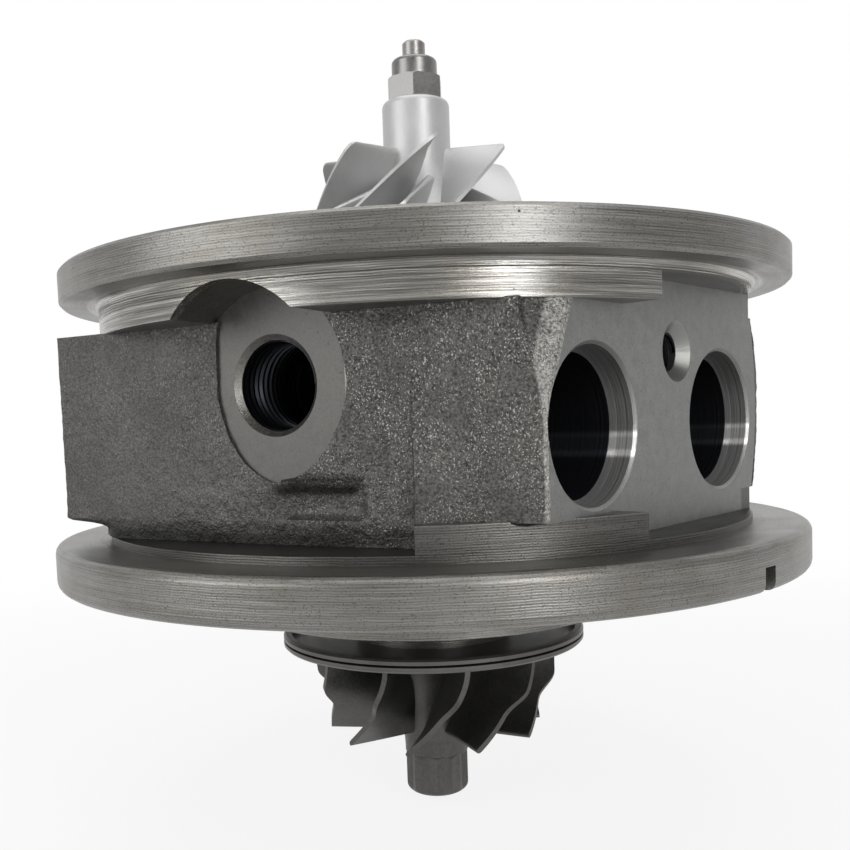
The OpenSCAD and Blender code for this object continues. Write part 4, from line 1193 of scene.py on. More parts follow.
@dataclass
class CastSkin:
    """Cast surface of the housing between its two flanges, with real grain and rounded edges.

    Attributes:
        proud: Height of the skin over the CAD casting.
        edge: Width over which cast edges are rounded.
        bend: Width over which the bend of the wall is rounded.
        crease: Width over which the leaning corner is rounded.
        grain: Height of the grain.
        grain_sizes: Sizes of the two layers of grain.
        lumps: Height of the longer waves.
        lump_size: Size of those waves.
        depth: Thickness of the skin.
        sharp: Angle in degrees from which its edges stay sharp.
        ends: First and last azimuth.
        columns: Steps around the part.
        rows: Steps in height.
        boss_right: Reach of the inlet's face to the right of the inlet.
        boss_left: Reach of that face to the left.
        boss_low: Reach of that face downwards.
        boss_steps: Steps around that face.
        boss_rough: Unevenness of its edge.
        boss_powers: Powers of its outline at the bottom, the upper right and the upper left.
        hollow_d: Depth of the round hollow under the inlet.
        hollow_r: Radius of the hollow.
        hollow_less: Depth that the skin takes off the hollow.
        hollow_run: Ends of the hollow along the wall.
        hollow_fade: Lengths outside and inside those ends over which it fades.
        hollow_rise: Height over which it sets in at the casting's lower edge.
        facet_az: Azimuths between which the leaning corner sets in.
        facet_end: Azimuth at which it ends.
        corner_run: Azimuths between which the corner starts to reach down to its foot.
        band_lap: Lap of the skin over the left end of the band.
        band_end: Azimuth at which the band is behind the water pad.
        band_sink: Depth of the skin's foot under the band.
        band_fade: Heights over the casting's lower edge between which it rises from the band.
        band_corner: Heights between which the corner sets in over the band.
        foot_fade: Heights between which the casting rises from its foot elsewhere.
        foot_gap: Gap between the skin and the lower flange's shoulder.
        top_lap: Lap of the skin over the neck.
        under_run: Place along the water pad from which the skin ends above the band.
        under_gap: Distance of that end under the casting's lower edge.
        port_edge: Width of the cut around the left port.
        port_end: Distance from the axis at which that cut ends.
    """

    proud: float = 0.34
    edge: float = 1.0
    bend: float = 0.4
    crease: float = 0.6
    grain: float = 0.12
    grain_sizes: Pair = (0.8, 1.9)
    lumps: float = 0.14
    lump_size: float = 6.0
    depth: float = 1.5
    sharp: float = 50.0
    ends: Pair = (82.0, 384.0)
    columns: int = 640
    rows: int = 62
    boss_right: float = 10.4
    boss_left: float = 8.5
    boss_low: float = 11.7
    boss_steps: int = 160
    boss_rough: float = 0.12
    boss_powers: Point = (1.8, 2.0, 3.6)
    hollow_d: float = 1.7
    hollow_r: float = 6.0
    hollow_less: float = 0.45
    hollow_run: Pair = (-3.0, 9.0)
    hollow_fade: Pair = (0.3, 1.2)
    hollow_rise: float = 0.6
    facet_az: Pair = (12.0, 13.2)
    facet_end: float = 40.0
    corner_run: Pair = (12.2, 13.4)
    band_lap: float = 0.4
    band_end: float = 60.0
    band_sink: float = 0.9
    band_fade: Pair = (-0.6, -0.1)
    band_corner: Pair = (-0.6, 1.4)
    foot_fade: Pair = (-2.0, -0.4)
    foot_gap: float = 0.03
    top_lap: float = 0.05
    under_run: float = -28.4
    under_gap: float = 0.05
    port_edge: float = 0.45
    port_end: float = 20.0

    def over_band(self, azimuth: float) -> bool:
        """Whether the skin lies over the band of the lower flange at an azimuth."""
        return HOUSING.band_az - self.band_lap < wrap_round(azimuth) < self.band_end

    def hollow(self, azimuth: float, z: float) -> float:
        """Depth of the hollow under the oil inlet.

        Args:
            azimuth: Azimuth in degrees.
            z: Height.

        Returns:
            The depth, 0 outside the hollow.
        """
        size = HOUSING
        rise = z - size.low_z - self.hollow_d
        if abs(rise) > self.hollow_r:
            return 0.0
        deep = self.hollow_d - self.hollow_r + math.sqrt(self.hollow_r ** 2 - rise * rise)
        turn = math.radians(azimuth - size.wall_az - size.wall_bend)
        run = size.wall_bent_h * math.tan(turn)
        (left, right), (out, inner) = self.hollow_run, self.hollow_fade
        sides = ease(left - out, left + inner, run) * (1 - ease(right - inner, right + out, run))
        foot = ease(size.low_z, size.low_z + self.hollow_rise, z)
        return max(0.0, deep - self.hollow_less) * sides * foot

    def casting_radius(self, azimuth: float, z: float) -> float:
        """Radius of the rough casting.

        Args:
            azimuth: Azimuth in degrees.
            z: Height.

        Returns:
            Distance of the surface from the rotor axis.
        """
        size = HOUSING
        wave = 2 * (z - size.low_z) / (size.high_z - size.low_z) - 1
        radius = size.casting_r - size.barrel * min(1.0, wave * wave)
        for face, deep in ((size.wall_az, size.neck_r / 3), (size.pad_az, size.neck_r / 2)):
            turn = math.radians(wrap_round(azimuth - face))
            if -math.pi / 2 < turn < 0:
                start = max(size.neck_r / 2 / -math.sin(turn), deep / math.cos(turn))
                share = ease(-self.crease, self.crease, start - radius)
                radius = mix(size.corner_r, radius, share)
        az = wrap_round(azimuth)
        flat = math.cos(math.radians(az - size.wall_az))
        bent = math.cos(math.radians(az - size.wall_az - size.wall_bend))
        if min(flat, bent) > FACING:
            wall = round_min(size.wall_h / flat, size.wall_bent_h / bent, self.bend)
            radius = round_min(radius, wall, self.edge) - self.hollow(az, z)
        if self.facet_az[0] < az < self.facet_end:
            lean = math.tan(math.radians(size.corner_lean))
            facet = size.corner_edge() - (z - size.corner_lean_z) * lean
            facet /= math.cos(math.radians(az - size.corner_az))
            radius = mix(radius, round_min(radius, facet, self.crease), ease(*self.facet_az, az))
        return radius

    def foot_radius(self, azimuth: float) -> float:
        """Radius of the casting's foot.

        Args:
            azimuth: Azimuth in degrees.

        Returns:
            Distance of the foot from the rotor axis, inside the band where there is one.
        """
        size = HOUSING
        radius = size.neck_r
        if self.over_band(azimuth):
            return radius - self.band_sink
        for turn, height in ((0.0, size.wall_h), (size.wall_bend, size.wall_bent_h)):
            flat = math.cos(math.radians(azimuth - size.wall_az - turn))
            if flat > FACING:
                radius = round_min(radius, (height - size.foot_undercut) / flat, self.edge)
        return radius

    def point(self, azimuth: float, z: float) -> Point:
        """A point of the skin, with its grain.

        Args:
            azimuth: Azimuth in degrees.
            z: Height.

        Returns:
            The point in millimetres.
        """
        full, rise = self.casting_radius(azimuth, z), z - HOUSING.low_z
        fade = self.foot_fade
        if self.over_band(azimuth):
            corner = ease(*self.corner_run, wrap_round(azimuth))
            share = max(ease(*self.band_corner, rise), corner)
            full = mix(min(full, HOUSING.casting_r), full, share)
            fade = self.band_fade
        radius = mix(self.foot_radius(azimuth), full, ease(*fade, rise))
        out = outward(azimuth)
        base = out * radius
        spot = Vector((base.x, base.y, z))
        wave = noise.noise(spot / self.lump_size) * self.lumps
        rough = sum(noise.noise(spot / size) * self.grain for size in self.grain_sizes)
        radius += self.proud + wave + rough
        return (out.x * radius, out.y * radius, z)

    def boss_cutter(self) -> Piece:
        """Outlines the face around the oil inlet, round but for its corners.

        Returns:
            The cutter.
        """
        outline = []
        bottom, upper_right, upper_left = self.boss_powers
        for k in range(self.boss_steps):
            a = 2 * math.pi * k / self.boss_steps
            side, rise = math.cos(a), math.sin(a)
            wide = self.boss_right if side > 0 else self.boss_left
            high = HOUSING.spotface_r if rise > 0 else self.boss_low
            power = bottom if rise < 0 else upper_right if side > 0 else upper_left
            r = (abs(side / wide) ** power + abs(rise / high) ** power) ** (-1 / power)
            r += self.boss_rough * noise.noise(Vector((4 * side, 4 * rise, 0.5)))
            outline.append((r * side, r * rise))
        return prism(HOUSING.wall_az, outline, HOUSING.inlet_z, INSIDE, OUTSIDE)

    def build(self) -> Piece:
        """Builds the skin and cuts the machined faces out of it.

        Returns:
            The skin.
        """
        size = HOUSING
        low, high = size.flange_low + size.shoulder + self.foot_gap, size.high_z + self.top_lap
        heights = [mix(low, high, i / self.rows) for i in range(self.rows + 1)]
        loops = []
        for k in range(self.columns + 1):
            azimuth = mix(*self.ends, k / self.columns)
            loop = [self.point(azimuth, z) for z in heights]
            for x, y, z in (loop[-1], loop[0]):
                shrink = 1 - self.depth / math.hypot(x, y)
                loop.append((x * shrink, y * shrink, z))
            loops.append(loop)
        piece = loft("cast_skin", loops)
        everywhere = (-BEYOND, BEYOND)
        under = (TALL[0], size.low_z - self.under_gap)
        port = (size.pad_az, size.port_s[0], size.port_z, size.port_r + self.port_edge)
        cutters = [
            self.boss_cutter(),
            block(size.pad_az, size.pad_h - LAP, everywhere, TALL),
            block(size.pad_az, INSIDE, (self.under_run, BEYOND), under),
            block(size.drain_az, size.drain_h - LAP, everywhere, TALL),
            drill(*port, self.port_end, OUTSIDE),
        ]
        return carve(piece, cutters, self.sharp)


@dataclass
class TurnedNeck:
    """Bright turned band under the compressor flange, with its tool lines and its fillet.

    Attributes:
        proud: Height of the band over the CAD neck.
        wall: Thickness of the ring.
        fillet: Radius of the fillet under the flange.
        fillet_steps: Steps of that fillet.
        top_lap: Lap of the ring over the flange.
        pad_low: Height at which the cut for the water pad starts.
        line: Pitch of the tool lines.
        line_steps: Steps in each tool line.
        line_d: Depth of the tool lines.
        wave: Pitch of the longer waves.
        wave_d: Depth of those waves.
        steps: Steps around the axis.
        sharp: Angle in degrees from which its edges stay sharp.
    """

    proud: float = 0.06
    wall: float = 1.2
    fillet: float = 0.8
    fillet_steps: int = 8
    top_lap: float = 0.04
    pad_low: float = 20.0
    line: float = 0.2
    line_steps: int = 4
    line_d: float = 0.03
    wave: float = 1 / 0.9
    wave_d: float = 0.05
    steps: int = 360
    sharp: float = 25.0

    def ripple(self, z: float) -> float:
        """Depth of the tool lines at a height."""
        layers = ((self.line_d, self.line), (self.wave_d, self.wave))
        return sum(depth * noise.noise(Vector((0.3, 0.7, z / pitch))) for depth, pitch in layers)

    def build(self) -> Piece:
        """Builds the ring and cuts the inlet's seat and the water pad out of it.

        Returns:
            The ring.
        """
        size = HOUSING
        low, high = size.high_z - LAP, size.flange_high + self.top_lap
        top, outside = high - self.fillet, size.neck_r + self.proud
        steps = int((top - low) / self.line * self.line_steps)
        heights = [mix(low, top, i / steps) for i in range(steps + 1)]
        outer = [(outside + self.ripple(z), z) for z in heights]
        for i in range(1, self.fillet_steps + 1):
            a = math.pi / 2 * i / self.fillet_steps
            out, up = self.fillet * (1 - math.cos(a)), self.fillet * math.sin(a)
            outer.append((outside + out, top + up))
        inside = size.neck_r - self.wall
        profile = [(inside, low)] + outer + [(inside, high)]
        piece = revolve("turned_neck", profile, self.steps, self.sharp)
        pad = (size.open_s, BEYOND), (self.pad_low, size.flange_high - size.shoulder)
        cutters = [
            drill(size.wall_az, 0.0, size.inlet_z, size.spotface_r - LAP, INSIDE, OUTSIDE),
            block(size.pad_az, size.pad_h - LAP, *pad),
        ]
        return carve(piece, cutters, self.sharp)


@dataclass
class Thread:
    """Thread in a tapped hole.

    Attributes:
        name: Name of the piece.
        azimuth: Azimuth of the hole.
        run: Place along the face.
        z: Height of the hole's axis.
        wall_r: Radius of the hole's wall.
        start: Distance of the first turn from the rotor axis.
        length: Length of the thread.
        pitch: Pitch of the thread.
        ridge: Height of the ridge as a share of the pitch.
        steps: Steps in each turn.
        sharp: Angle in degrees from which its edges stay sharp.
    """

    name: str
    azimuth: float
    run: float
    z: float
    wall_r: float
    start: float
    length: float
    pitch: float = 1.0
    ridge: float = 0.27
    steps: int = 40
    sharp: float = 20.0

    def build(self, material: bpy.types.Material) -> Piece:
        """Winds a ridge of four sides along the hole's wall.

        Args:
            material: Material of the thread.

        Returns:
            The thread.
        """
        recipe = Recipe(self.name)
        rounds = recipe.size("Rotations", "NodeSocketFloat", self.length / self.pitch)
        wall = recipe.size("Wall radius", "NodeSocketFloat", self.wall_r * MM)
        long = recipe.size("Length", "NodeSocketFloat", self.length * MM)
        ridge = recipe.size("Ridge", "NodeSocketFloat", self.pitch * self.ridge * MM)
        helix = {"Resolution": self.steps, "Rotations": rounds, "Height": long}
        helix.update({"Start Radius": wall, "End Radius": wall})
        path = recipe.add("GeometryNodeCurveSpiral", {}, helix)
        sides = {"Resolution": 4, "Radius": ridge}
        section = recipe.add("GeometryNodeCurvePrimitiveCircle", {"mode": "RADIUS"}, sides)
        sweep = {"Curve": path, "Profile Curve": section, "Fill Caps": True}
        tube = recipe.add("GeometryNodeCurveToMesh", {}, sweep)
        out = outward(self.azimuth)
        foot = out * (self.start - self.length) + along(self.azimuth) * self.run
        foot.z = self.z
        turn = out.to_track_quat("Z", "Y").to_euler()
        move = {"Geometry": tube, "Translation": tuple(foot * MM), "Rotation": tuple(turn)}
        shape = recipe.add("GeometryNodeTransform", {}, move)
        return recipe.run(make_object(self.name, [], []), shape, material, self.sharp)


Line = Callable[[float], Pair]


@dataclass
class Blade:
    """One wheel blade between a root line and a tip line.

    Attributes:
        name: Name of the piece.
        root: Radius and height of the blade's root along its length from 0 to 1.
        tip: Radius and height of its tip.
        turn: Angle about the rotor axis in degrees along its length.
        root_t: Thickness at the root.
        tip_t: Thickness at the tip.
        fillet: Extra thickness where the blade leaves the hub.
        first: Place along the tip line at which the blade starts.
        root_first: Place along the root line at which the blade starts.
        corner: Share of the span that is rounded off at the leading tip.
        corner_run: Share of the length over which that corner is rounded.
        edge_run: Share of the length over which the two end edges are rounded.
        edge_t: Share of the thickness that is left at those edges.
        fillet_run: Share of the span over which the fillet dies away.
        span_power: Power that moves the steps of the span towards the root.
        length_steps: Steps along the blade.
        span_steps: Steps from root to tip.
        sharp: Angle in degrees from which its edges stay sharp.
    """

    name: str
    root: Line
    tip: Line
    turn: Callable[[float], float]
    root_t: float
    tip_t: float
    fillet: float = 0.5
    first: float = 0.0
    root_first: float = 0.0
    corner: float = 0.1
    corner_run: float = 0.04
    edge_run: float = 0.03
    edge_t: float = 0.15
    fillet_run: float = 0.07
    span_power: float = 1.5
    length_steps: int = 44
    span_steps: int = 16
    sharp: float = 40.0

    def middle(self, q: float, u: float) -> Vector:
        """Point of the blade's middle surface.

        Args:
            q: Place along the blade's own length from 0 to 1.
            u: Place along its span from 0 to 1.

        Returns:
            The point in millimetres.
        """
        ends = []
        for line, start in ((self.root, self.root_first), (self.tip, self.first)):
            t = mix(start, 1.0, q)
            r, z = line(t)
            a = math.radians(self.turn(t))
            ends.append(Vector((r * math.cos(a), r * math.sin(a), z)))
        return ends[0] + (ends[1] - ends[0]) * u

    def normal(self, q: float, u: float) -> Vector:
        """Unit normal of the middle surface.

        Args:
            q: Place along the blade's own length from 0 to 1.
            u: Place along its span from 0 to 1.

        Returns:
            The normal.
        """
        d = 1e-3
        run = self.middle(min(1.0, q + d), u) - self.middle(max(0.0, q - d), u)
        rise = self.middle(q, u + d) - self.middle(q, u - d)
        return run.cross(rise).normalized()

    def top(self, q: float) -> float:
        """Share of the span that the blade fills, less at its rounded leading tip."""
        back = 1 - min(1.0, q / self.corner_run)
        return 1 - self.corner * (1 - math.sqrt(1 - back * back))

    def thickness(self, q: float, u: float) -> float:
        """Thickness of the blade, with its fillet and its rounded end edges.

        Args:
            q: Place along the blade's own length from 0 to 1.
            u: Place along its span from 0 to 1.

        Returns:
            The thickness in millimetres.
        """
        back = 1 - min(1.0, min(q, 1 - q) / self.edge_run)
        thick = mix(self.root_t, self.tip_t, u) + self.fillet * math.exp(-u / self.fillet_run)
        return thick * mix(self.edge_t, 1.0, math.sqrt(1 - back * back))

    def build(self, phase: float) -> Piece:
        """Builds the blade.

        Args:
            phase: Angle about the rotor axis in degrees.

        Returns:
            The closed blade.
        """
        long, wide = self.length_steps + 1, self.span_steps + 1
        turn = Matrix.Rotation(math.radians(phase), 3, "Z")
        points = []
        for sign in (1, -1):
            for i in range(long):
                q = ease_cosine(i / self.length_steps)
                for j in range(wide):
                    u = self.top(q) * (j / self.span_steps) ** self.span_power
                    half = self.normal(q, u) * (sign * self.thickness(q, u) / 2)
                    points.append(tuple(turn @ (self.middle(q, u) + half)))

        def at(side: int, i: int, j: int) -> int:
            """Number of a corner."""
            return (side * long + i) * wide + j

        faces = []
        for i in range(long - 1):
            n = i + 1
            for j in range(wide - 1):
                faces.append((at(0, i, j), at(0, n, j), at(0, n, j + 1), at(0, i, j + 1)))
                faces.append((at(1, i, j), at(1, i, j + 1), at(1, n, j + 1), at(1, n, j)))
            for j in (0, wide - 1):
                faces.append((at(0, i, j), at(1, i, j), at(1, n, j), at(0, n, j)))
        for i in (0, long - 1):
            for j in range(wide - 1):
                faces.append((at(0, i, j), at(0, i, j + 1), at(1, i, j + 1), at(1, i, j)))
        return make_object(self.name, points, faces, self.sharp)


@dataclass
class CompressorWheel:
    """Cast aluminium compressor wheel with full blades and splitters.

    Attributes:
        count: Number of full blades, and of splitters.
        phase: Azimuth of the first blade in degrees.
        rim_r: Radius of the rim.
        rim_edge: Chamfer of the rim's back edge.
        inducer_r: Radius of the leading edges.
        tip_inset: Distance of the blades' ends from the rim.
        nose_r: Radius of the nose.
        back_z: Height of the back.
        disc_t: Thickness of the rim.
        blade_top_z: Height of the leading edges.
        rim_tip_z: Height of the blades at the rim.
        hub_top_z: Height at which the hub's curve meets the nose.
        nose_top_z: Height of the nose's end.
        nose_round: Rounding of that end.
        nose_steps: Steps of that rounding.
        bore_r: Radius of the bore.
        wrap: Angle in degrees over which a blade wraps.
        root_t: Thickness of a blade at its root.
        tip_t: Thickness of a blade at its tip.
        root_reach: Share of the hub's curve that the blades take.
        root_sink: Depth of the blades' root in the hub as a share of the rim's thickness.
        splitter_tip: Place along the tip line at which a splitter starts.
        splitter_root: Place along the root line at which it starts.
        steps: Steps of the hub around the axis.
        sharp: Angle in degrees from which the hub's edges stay sharp.
        slot: Material slot of the record.
    """

    count: int = 7
    phase: float = 12.4
    rim_r: float = 22.0
    rim_edge: float = 0.15
    inducer_r: float = 14.5
    tip_inset: float = 0.1
    nose_r: float = 5.05
    back_z: float = 42.85
    disc_t: float = 0.8
    blade_top_z: float = 60.75
    rim_tip_z: float = 46.35
    hub_top_z: float = 62.35
    nose_top_z: float = 69.0
    nose_round: float = 0.9
    nose_steps: int = 6
    bore_r: float = 2.5
    wrap: float = 62.0
    root_t: float = 1.15
    tip_t: float = 0.45
    root_reach: float = 0.97
    root_sink: float = 0.6
    splitter_tip: float = 0.447
    splitter_root: float = 0.143
    steps: int = 192
    sharp: float = 30.0
    slot: str = "wheel_aluminium"

    def hub(self, t: float) -> Pair:
        """Hub line from the rim at 0 to the nose at 1.

        Args:
            t: Place along the line.

        Returns:
            Radius and height.
        """
        a = math.pi / 2 * t
        low = self.back_z + self.disc_t
        return mix(self.rim_r, self.nose_r, math.sin(a)), mix(low, self.hub_top_z, 1 - math.cos(a))

    def root(self, t: float) -> Pair:
        """Blade root line from the inducer at 0 to the rim at 1, sunk into the hub.

        Args:
            t: Place along the line.

        Returns:
            Radius and height.
        """
        a = math.pi / 2 * (1 - t)
        r, z = self.hub((1 - t) * self.root_reach)
        sink = self.disc_t * self.root_sink
        return r - math.sin(a) * sink, z - math.cos(a) * sink

    def tip(self, t: float) -> Pair:
        """Blade tip line from the inducer at 0 to the rim at 1.

        Args:
            t: Place along the line.

        Returns:
            Radius and height.
        """
        a = math.pi / 2 * t
        r = mix(self.rim_r - self.tip_inset, self.inducer_r, math.cos(a))
        return r, mix(self.blade_top_z, self.rim_tip_z, math.sin(a))

    def turn(self, t: float) -> float:
        """Wrap angle of the blades."""
        return -self.wrap * (1 - (1 - t) ** 2)

    def build_hub(self) -> Piece:
        """Builds the hub with its rim and its rounded nose.

        Returns:
            The hub.
        """
        back, edge = self.back_z, self.rim_edge
        profile = [(self.bore_r, back), (self.rim_r - edge, back), (self.rim_r, back + edge)]
        profile += [self.hub(i / HUB_STEPS) for i in range(HUB_STEPS + 1)]
        for i in range(self.nose_steps + 1):
            a = math.pi / 2 * i / self.nose_steps
            r = self.nose_r - self.nose_round * (1 - math.cos(a))
            profile.append((r, self.nose_top_z - self.nose_round * (1 - math.sin(a))))
        profile.append((self.bore_r, self.nose_top_z))
        return revolve("compressor_hub", profile, self.steps, self.sharp)

    def build(self, material: bpy.types.Material) -> None:
        """Builds the hub and both blade sets.

        Args:
            material: Material of the wheel.
        """
        finish_piece(self.build_hub(), material, Body.ROTOR, self.slot, "compressor_wheel")
        lines = (self.root, self.tip, self.turn)
        sizes = {"root_t": self.root_t, "tip_t": self.tip_t}
        starts = {"first": self.splitter_tip, "root_first": self.splitter_root}
        full = Blade("compressor_blades", *lines, **sizes)
        splitter = Blade("compressor_splitters", *lines, **sizes, **starts)
        for blade, shift in ((full, 0.0), (splitter, 180 / self.count)):
            piece = spread_round(blade.build(self.phase - 90 + shift), self.count, material)
            finish_piece(piece, material, Body.ROTOR, self.slot)


@dataclass
class TurbineWheel:
    """Cast turbine wheel with ten blades and a twelve-point end.

    Attributes:
        count: Number of blades.
        phase: Azimuth of the first blade in degrees.
        back_z: Height of the back.
        weld_z: Height of the weld on the shaft.
        weld_r: Radius of the weld's face.
        boss_r: Radius at the foot of the boss under it.
        disc_r: Radius of the disc.
        disc_t: Thickness of the disc at its rim.
        disc_edge: Chamfer of the disc's back edge.
        hub_r: Radius of the hub at the outlet.
        hub_low_z: Height of the hub's end.
        hub_end: Width and height of the chamfer on that end.
        inlet_r: Radius of the blades at the inlet.
        outlet_r: Radius of the blades at the outlet.
        blade_top_z: Height of the blades' upper corners.
        blade_h: Height of the blades.
        inlet_h: Height of their inlet edge.
        shroud: Share of the height over which the tip moves from inlet to outlet.
        wrap: Angle in degrees over which a blade wraps.
        bend: Power with which it wraps.
        root_t: Thickness of a blade at its root.
        tip_t: Thickness of a blade at its tip.
        root_r: Radius of the blades' root inside the hub.
        root_gap: Distance of the root's upper end from the back.
        root_low_z: Height of the root's lower end.
        end_r: Radius of the twelve points.
        end_z: Height of the lowest point.
        end_round: Rounding of the end's foot.
        end_rows: Steps of that rounding.
        end_lap: Lap of the end over the hub.
        end_steps: Steps around the end.
        end_blunt: Width over which its points are blunted.
        end_sharp: Angle in degrees from which its edges stay sharp.
        steps: Steps of the hub around the axis.
        sharp: Angle in degrees from which the hub's edges stay sharp.
        slot: Material slot of the record.
    """

    count: int = 10
    phase: float = 14.4
    back_z: float = -13.1
    weld_z: float = -12.0
    weld_r: float = 6.0
    boss_r: float = 6.4
    disc_r: float = 15.5
    disc_t: float = 0.9
    disc_edge: float = 0.2
    hub_r: float = 4.9
    hub_low_z: float = -30.3
    hub_end: Pair = (0.5, 0.7)
    inlet_r: float = 18.7
    outlet_r: float = 16.4
    blade_top_z: float = -13.2
    blade_h: float = 12.9
    inlet_h: float = 4.6
    shroud: float = 0.3
    wrap: float = 30.0
    bend: float = 1.9
    root_t: float = 1.35
    tip_t: float = 0.75
    root_r: float = 3.92
    root_gap: float = 0.3
    root_low_z: float = -26.7
    end_r: float = 5.0
    end_z: float = -36.85
    end_round: float = 1.75
    end_rows: int = 8
    end_lap: float = 0.5
    end_steps: int = 120
    end_blunt: float = 0.3
    end_sharp: float = 20.0
    steps: int = 160
    sharp: float = 30.0
    slot: str = "turbine_alloy"

    def hub(self, t: float) -> Pair:
        """Hub line from the disc's rim at 0 to the outlet at 1.

        Args:
            t: Place along the line.

        Returns:
            Radius and height.
        """
        a = math.pi / 2 * t
        rim_z = self.back_z - self.disc_t
        return mix(self.disc_r, self.hub_r, math.sin(a)), mix(rim_z, self.hub_low_z, 1 - math.cos(a))

    def tip(self, t: float) -> Pair:
        """Blade tip line from the inlet's top at 0 to the outlet at 1.

        Args:
            t: Place along the line.

        Returns:
            Radius and height.
        """
        drop = self.blade_h * t
        share = ease_cosine((drop - self.inlet_h) / (self.blade_h * self.shroud))
        return mix(self.inlet_r, self.outlet_r, share), self.blade_top_z - drop

    def root(self, t: float) -> Pair:
        """Blade root line inside the hub."""
        return self.root_r, mix(self.back_z - self.root_gap, self.root_low_z, t)

    def turn(self, t: float) -> float:
        """Wrap angle of the blades."""
        return -self.wrap * t ** self.bend

    def build(self, material: bpy.types.Material) -> None:
        """Builds the hub, the blades and the end.

        Args:
            material: Material of the wheel.
        """
        low = self.hub_low_z - self.hub_end[1]
        profile = [(0.0, self.weld_z), (self.weld_r, self.weld_z), (self.boss_r, self.back_z)]
        profile += [(self.disc_r - self.disc_edge, self.back_z)]
        profile += [(self.disc_r, self.back_z - self.disc_edge)]
        profile += [self.hub(i / HUB_STEPS) for i in range(HUB_STEPS + 1)]
        profile += [(self.hub_r - self.hub_end[0], low), (0.0, low)]
        hub = revolve("turbine_hub", profile, self.steps, self.sharp)
        finish_piece(hub, material, Body.ROTOR, self.slot, "turbine_wheel")
        lines = (self.root, self.tip, self.turn)
        blade = Blade("turbine_blades", *lines, self.root_t, self.tip_t).build(self.phase - 90)
        blades = spread_round(blade, self.count, material)
        for piece in (blades, self.end()):
            finish_piece(piece, material, Body.ROTOR, self.slot)

    def end(self) -> Piece:
        """Builds the twelve-point end on which the wheel is held for balancing.

        Returns:
            The end.
        """
        steps, low = self.end_steps, self.end_z + self.end_round
        sections = [(self.hub_low_z + self.end_lap, self.end_r)]
        for i in range(self.end_rows + 1):
            a = math.pi / 2 * i / self.end_rows
            reach = self.end_r - self.end_round * (1 - math.cos(a))
            sections.append((low - self.end_round * math.sin(a), reach))
        loops = []
        for z, reach in sections:
            loop = []
            for k in range(steps):
                a = 2 * math.pi * k / steps
                r = round_min(self.star(a), reach, self.end_blunt)
                a += math.radians(self.phase)
                loop.append((r * math.cos(a), r * math.sin(a), z))
            loops.append(loop)
        return loft("turbine_end", loops, self.end_sharp)

    def star(self, angle: float) -> float:
        """Outline of two crossed hexagons.

        Args:
            angle: Angle in radians.

        Returns:
            The radius at that angle.
        """
        sixth = math.pi / 3
        turns = [(angle + shift) % sixth - sixth / 2 for shift in (0.0, sixth / 2)]
        return max(self.end_r * math.cos(sixth / 2) / math.cos(turn) for turn in turns)


@dataclass(frozen=True)
class SoftBox:
    """A soft light.

    Attributes:
        name: Name of the light.
        place: Its place in millimetres.
        aim_z: Height of the point on the rotor axis that it faces.
        size: Width and height in millimetres.
        power: Power in watts.
    """

    name: str
    place: Point
    aim_z: float
    size: Pair
    power: float

    def build(self) -> None:
        """Adds the light."""
        light = bpy.data.lights.new(self.name, "AREA")
        light.shape = "RECTANGLE"
        light.size, light.size_y = self.size[0] * MM, self.size[1] * MM
        light.energy = self.power
        lamp = bpy.data.objects.new(self.name, light)
        lamp.location = Vector(self.place) * MM
        way = Vector((0, 0, self.aim_z)) - Vector(self.place)
        lamp.rotation_euler = way.to_track_quat("-Z", "Y").to_euler()
        bpy.context.scene.collection.objects.link(lamp)


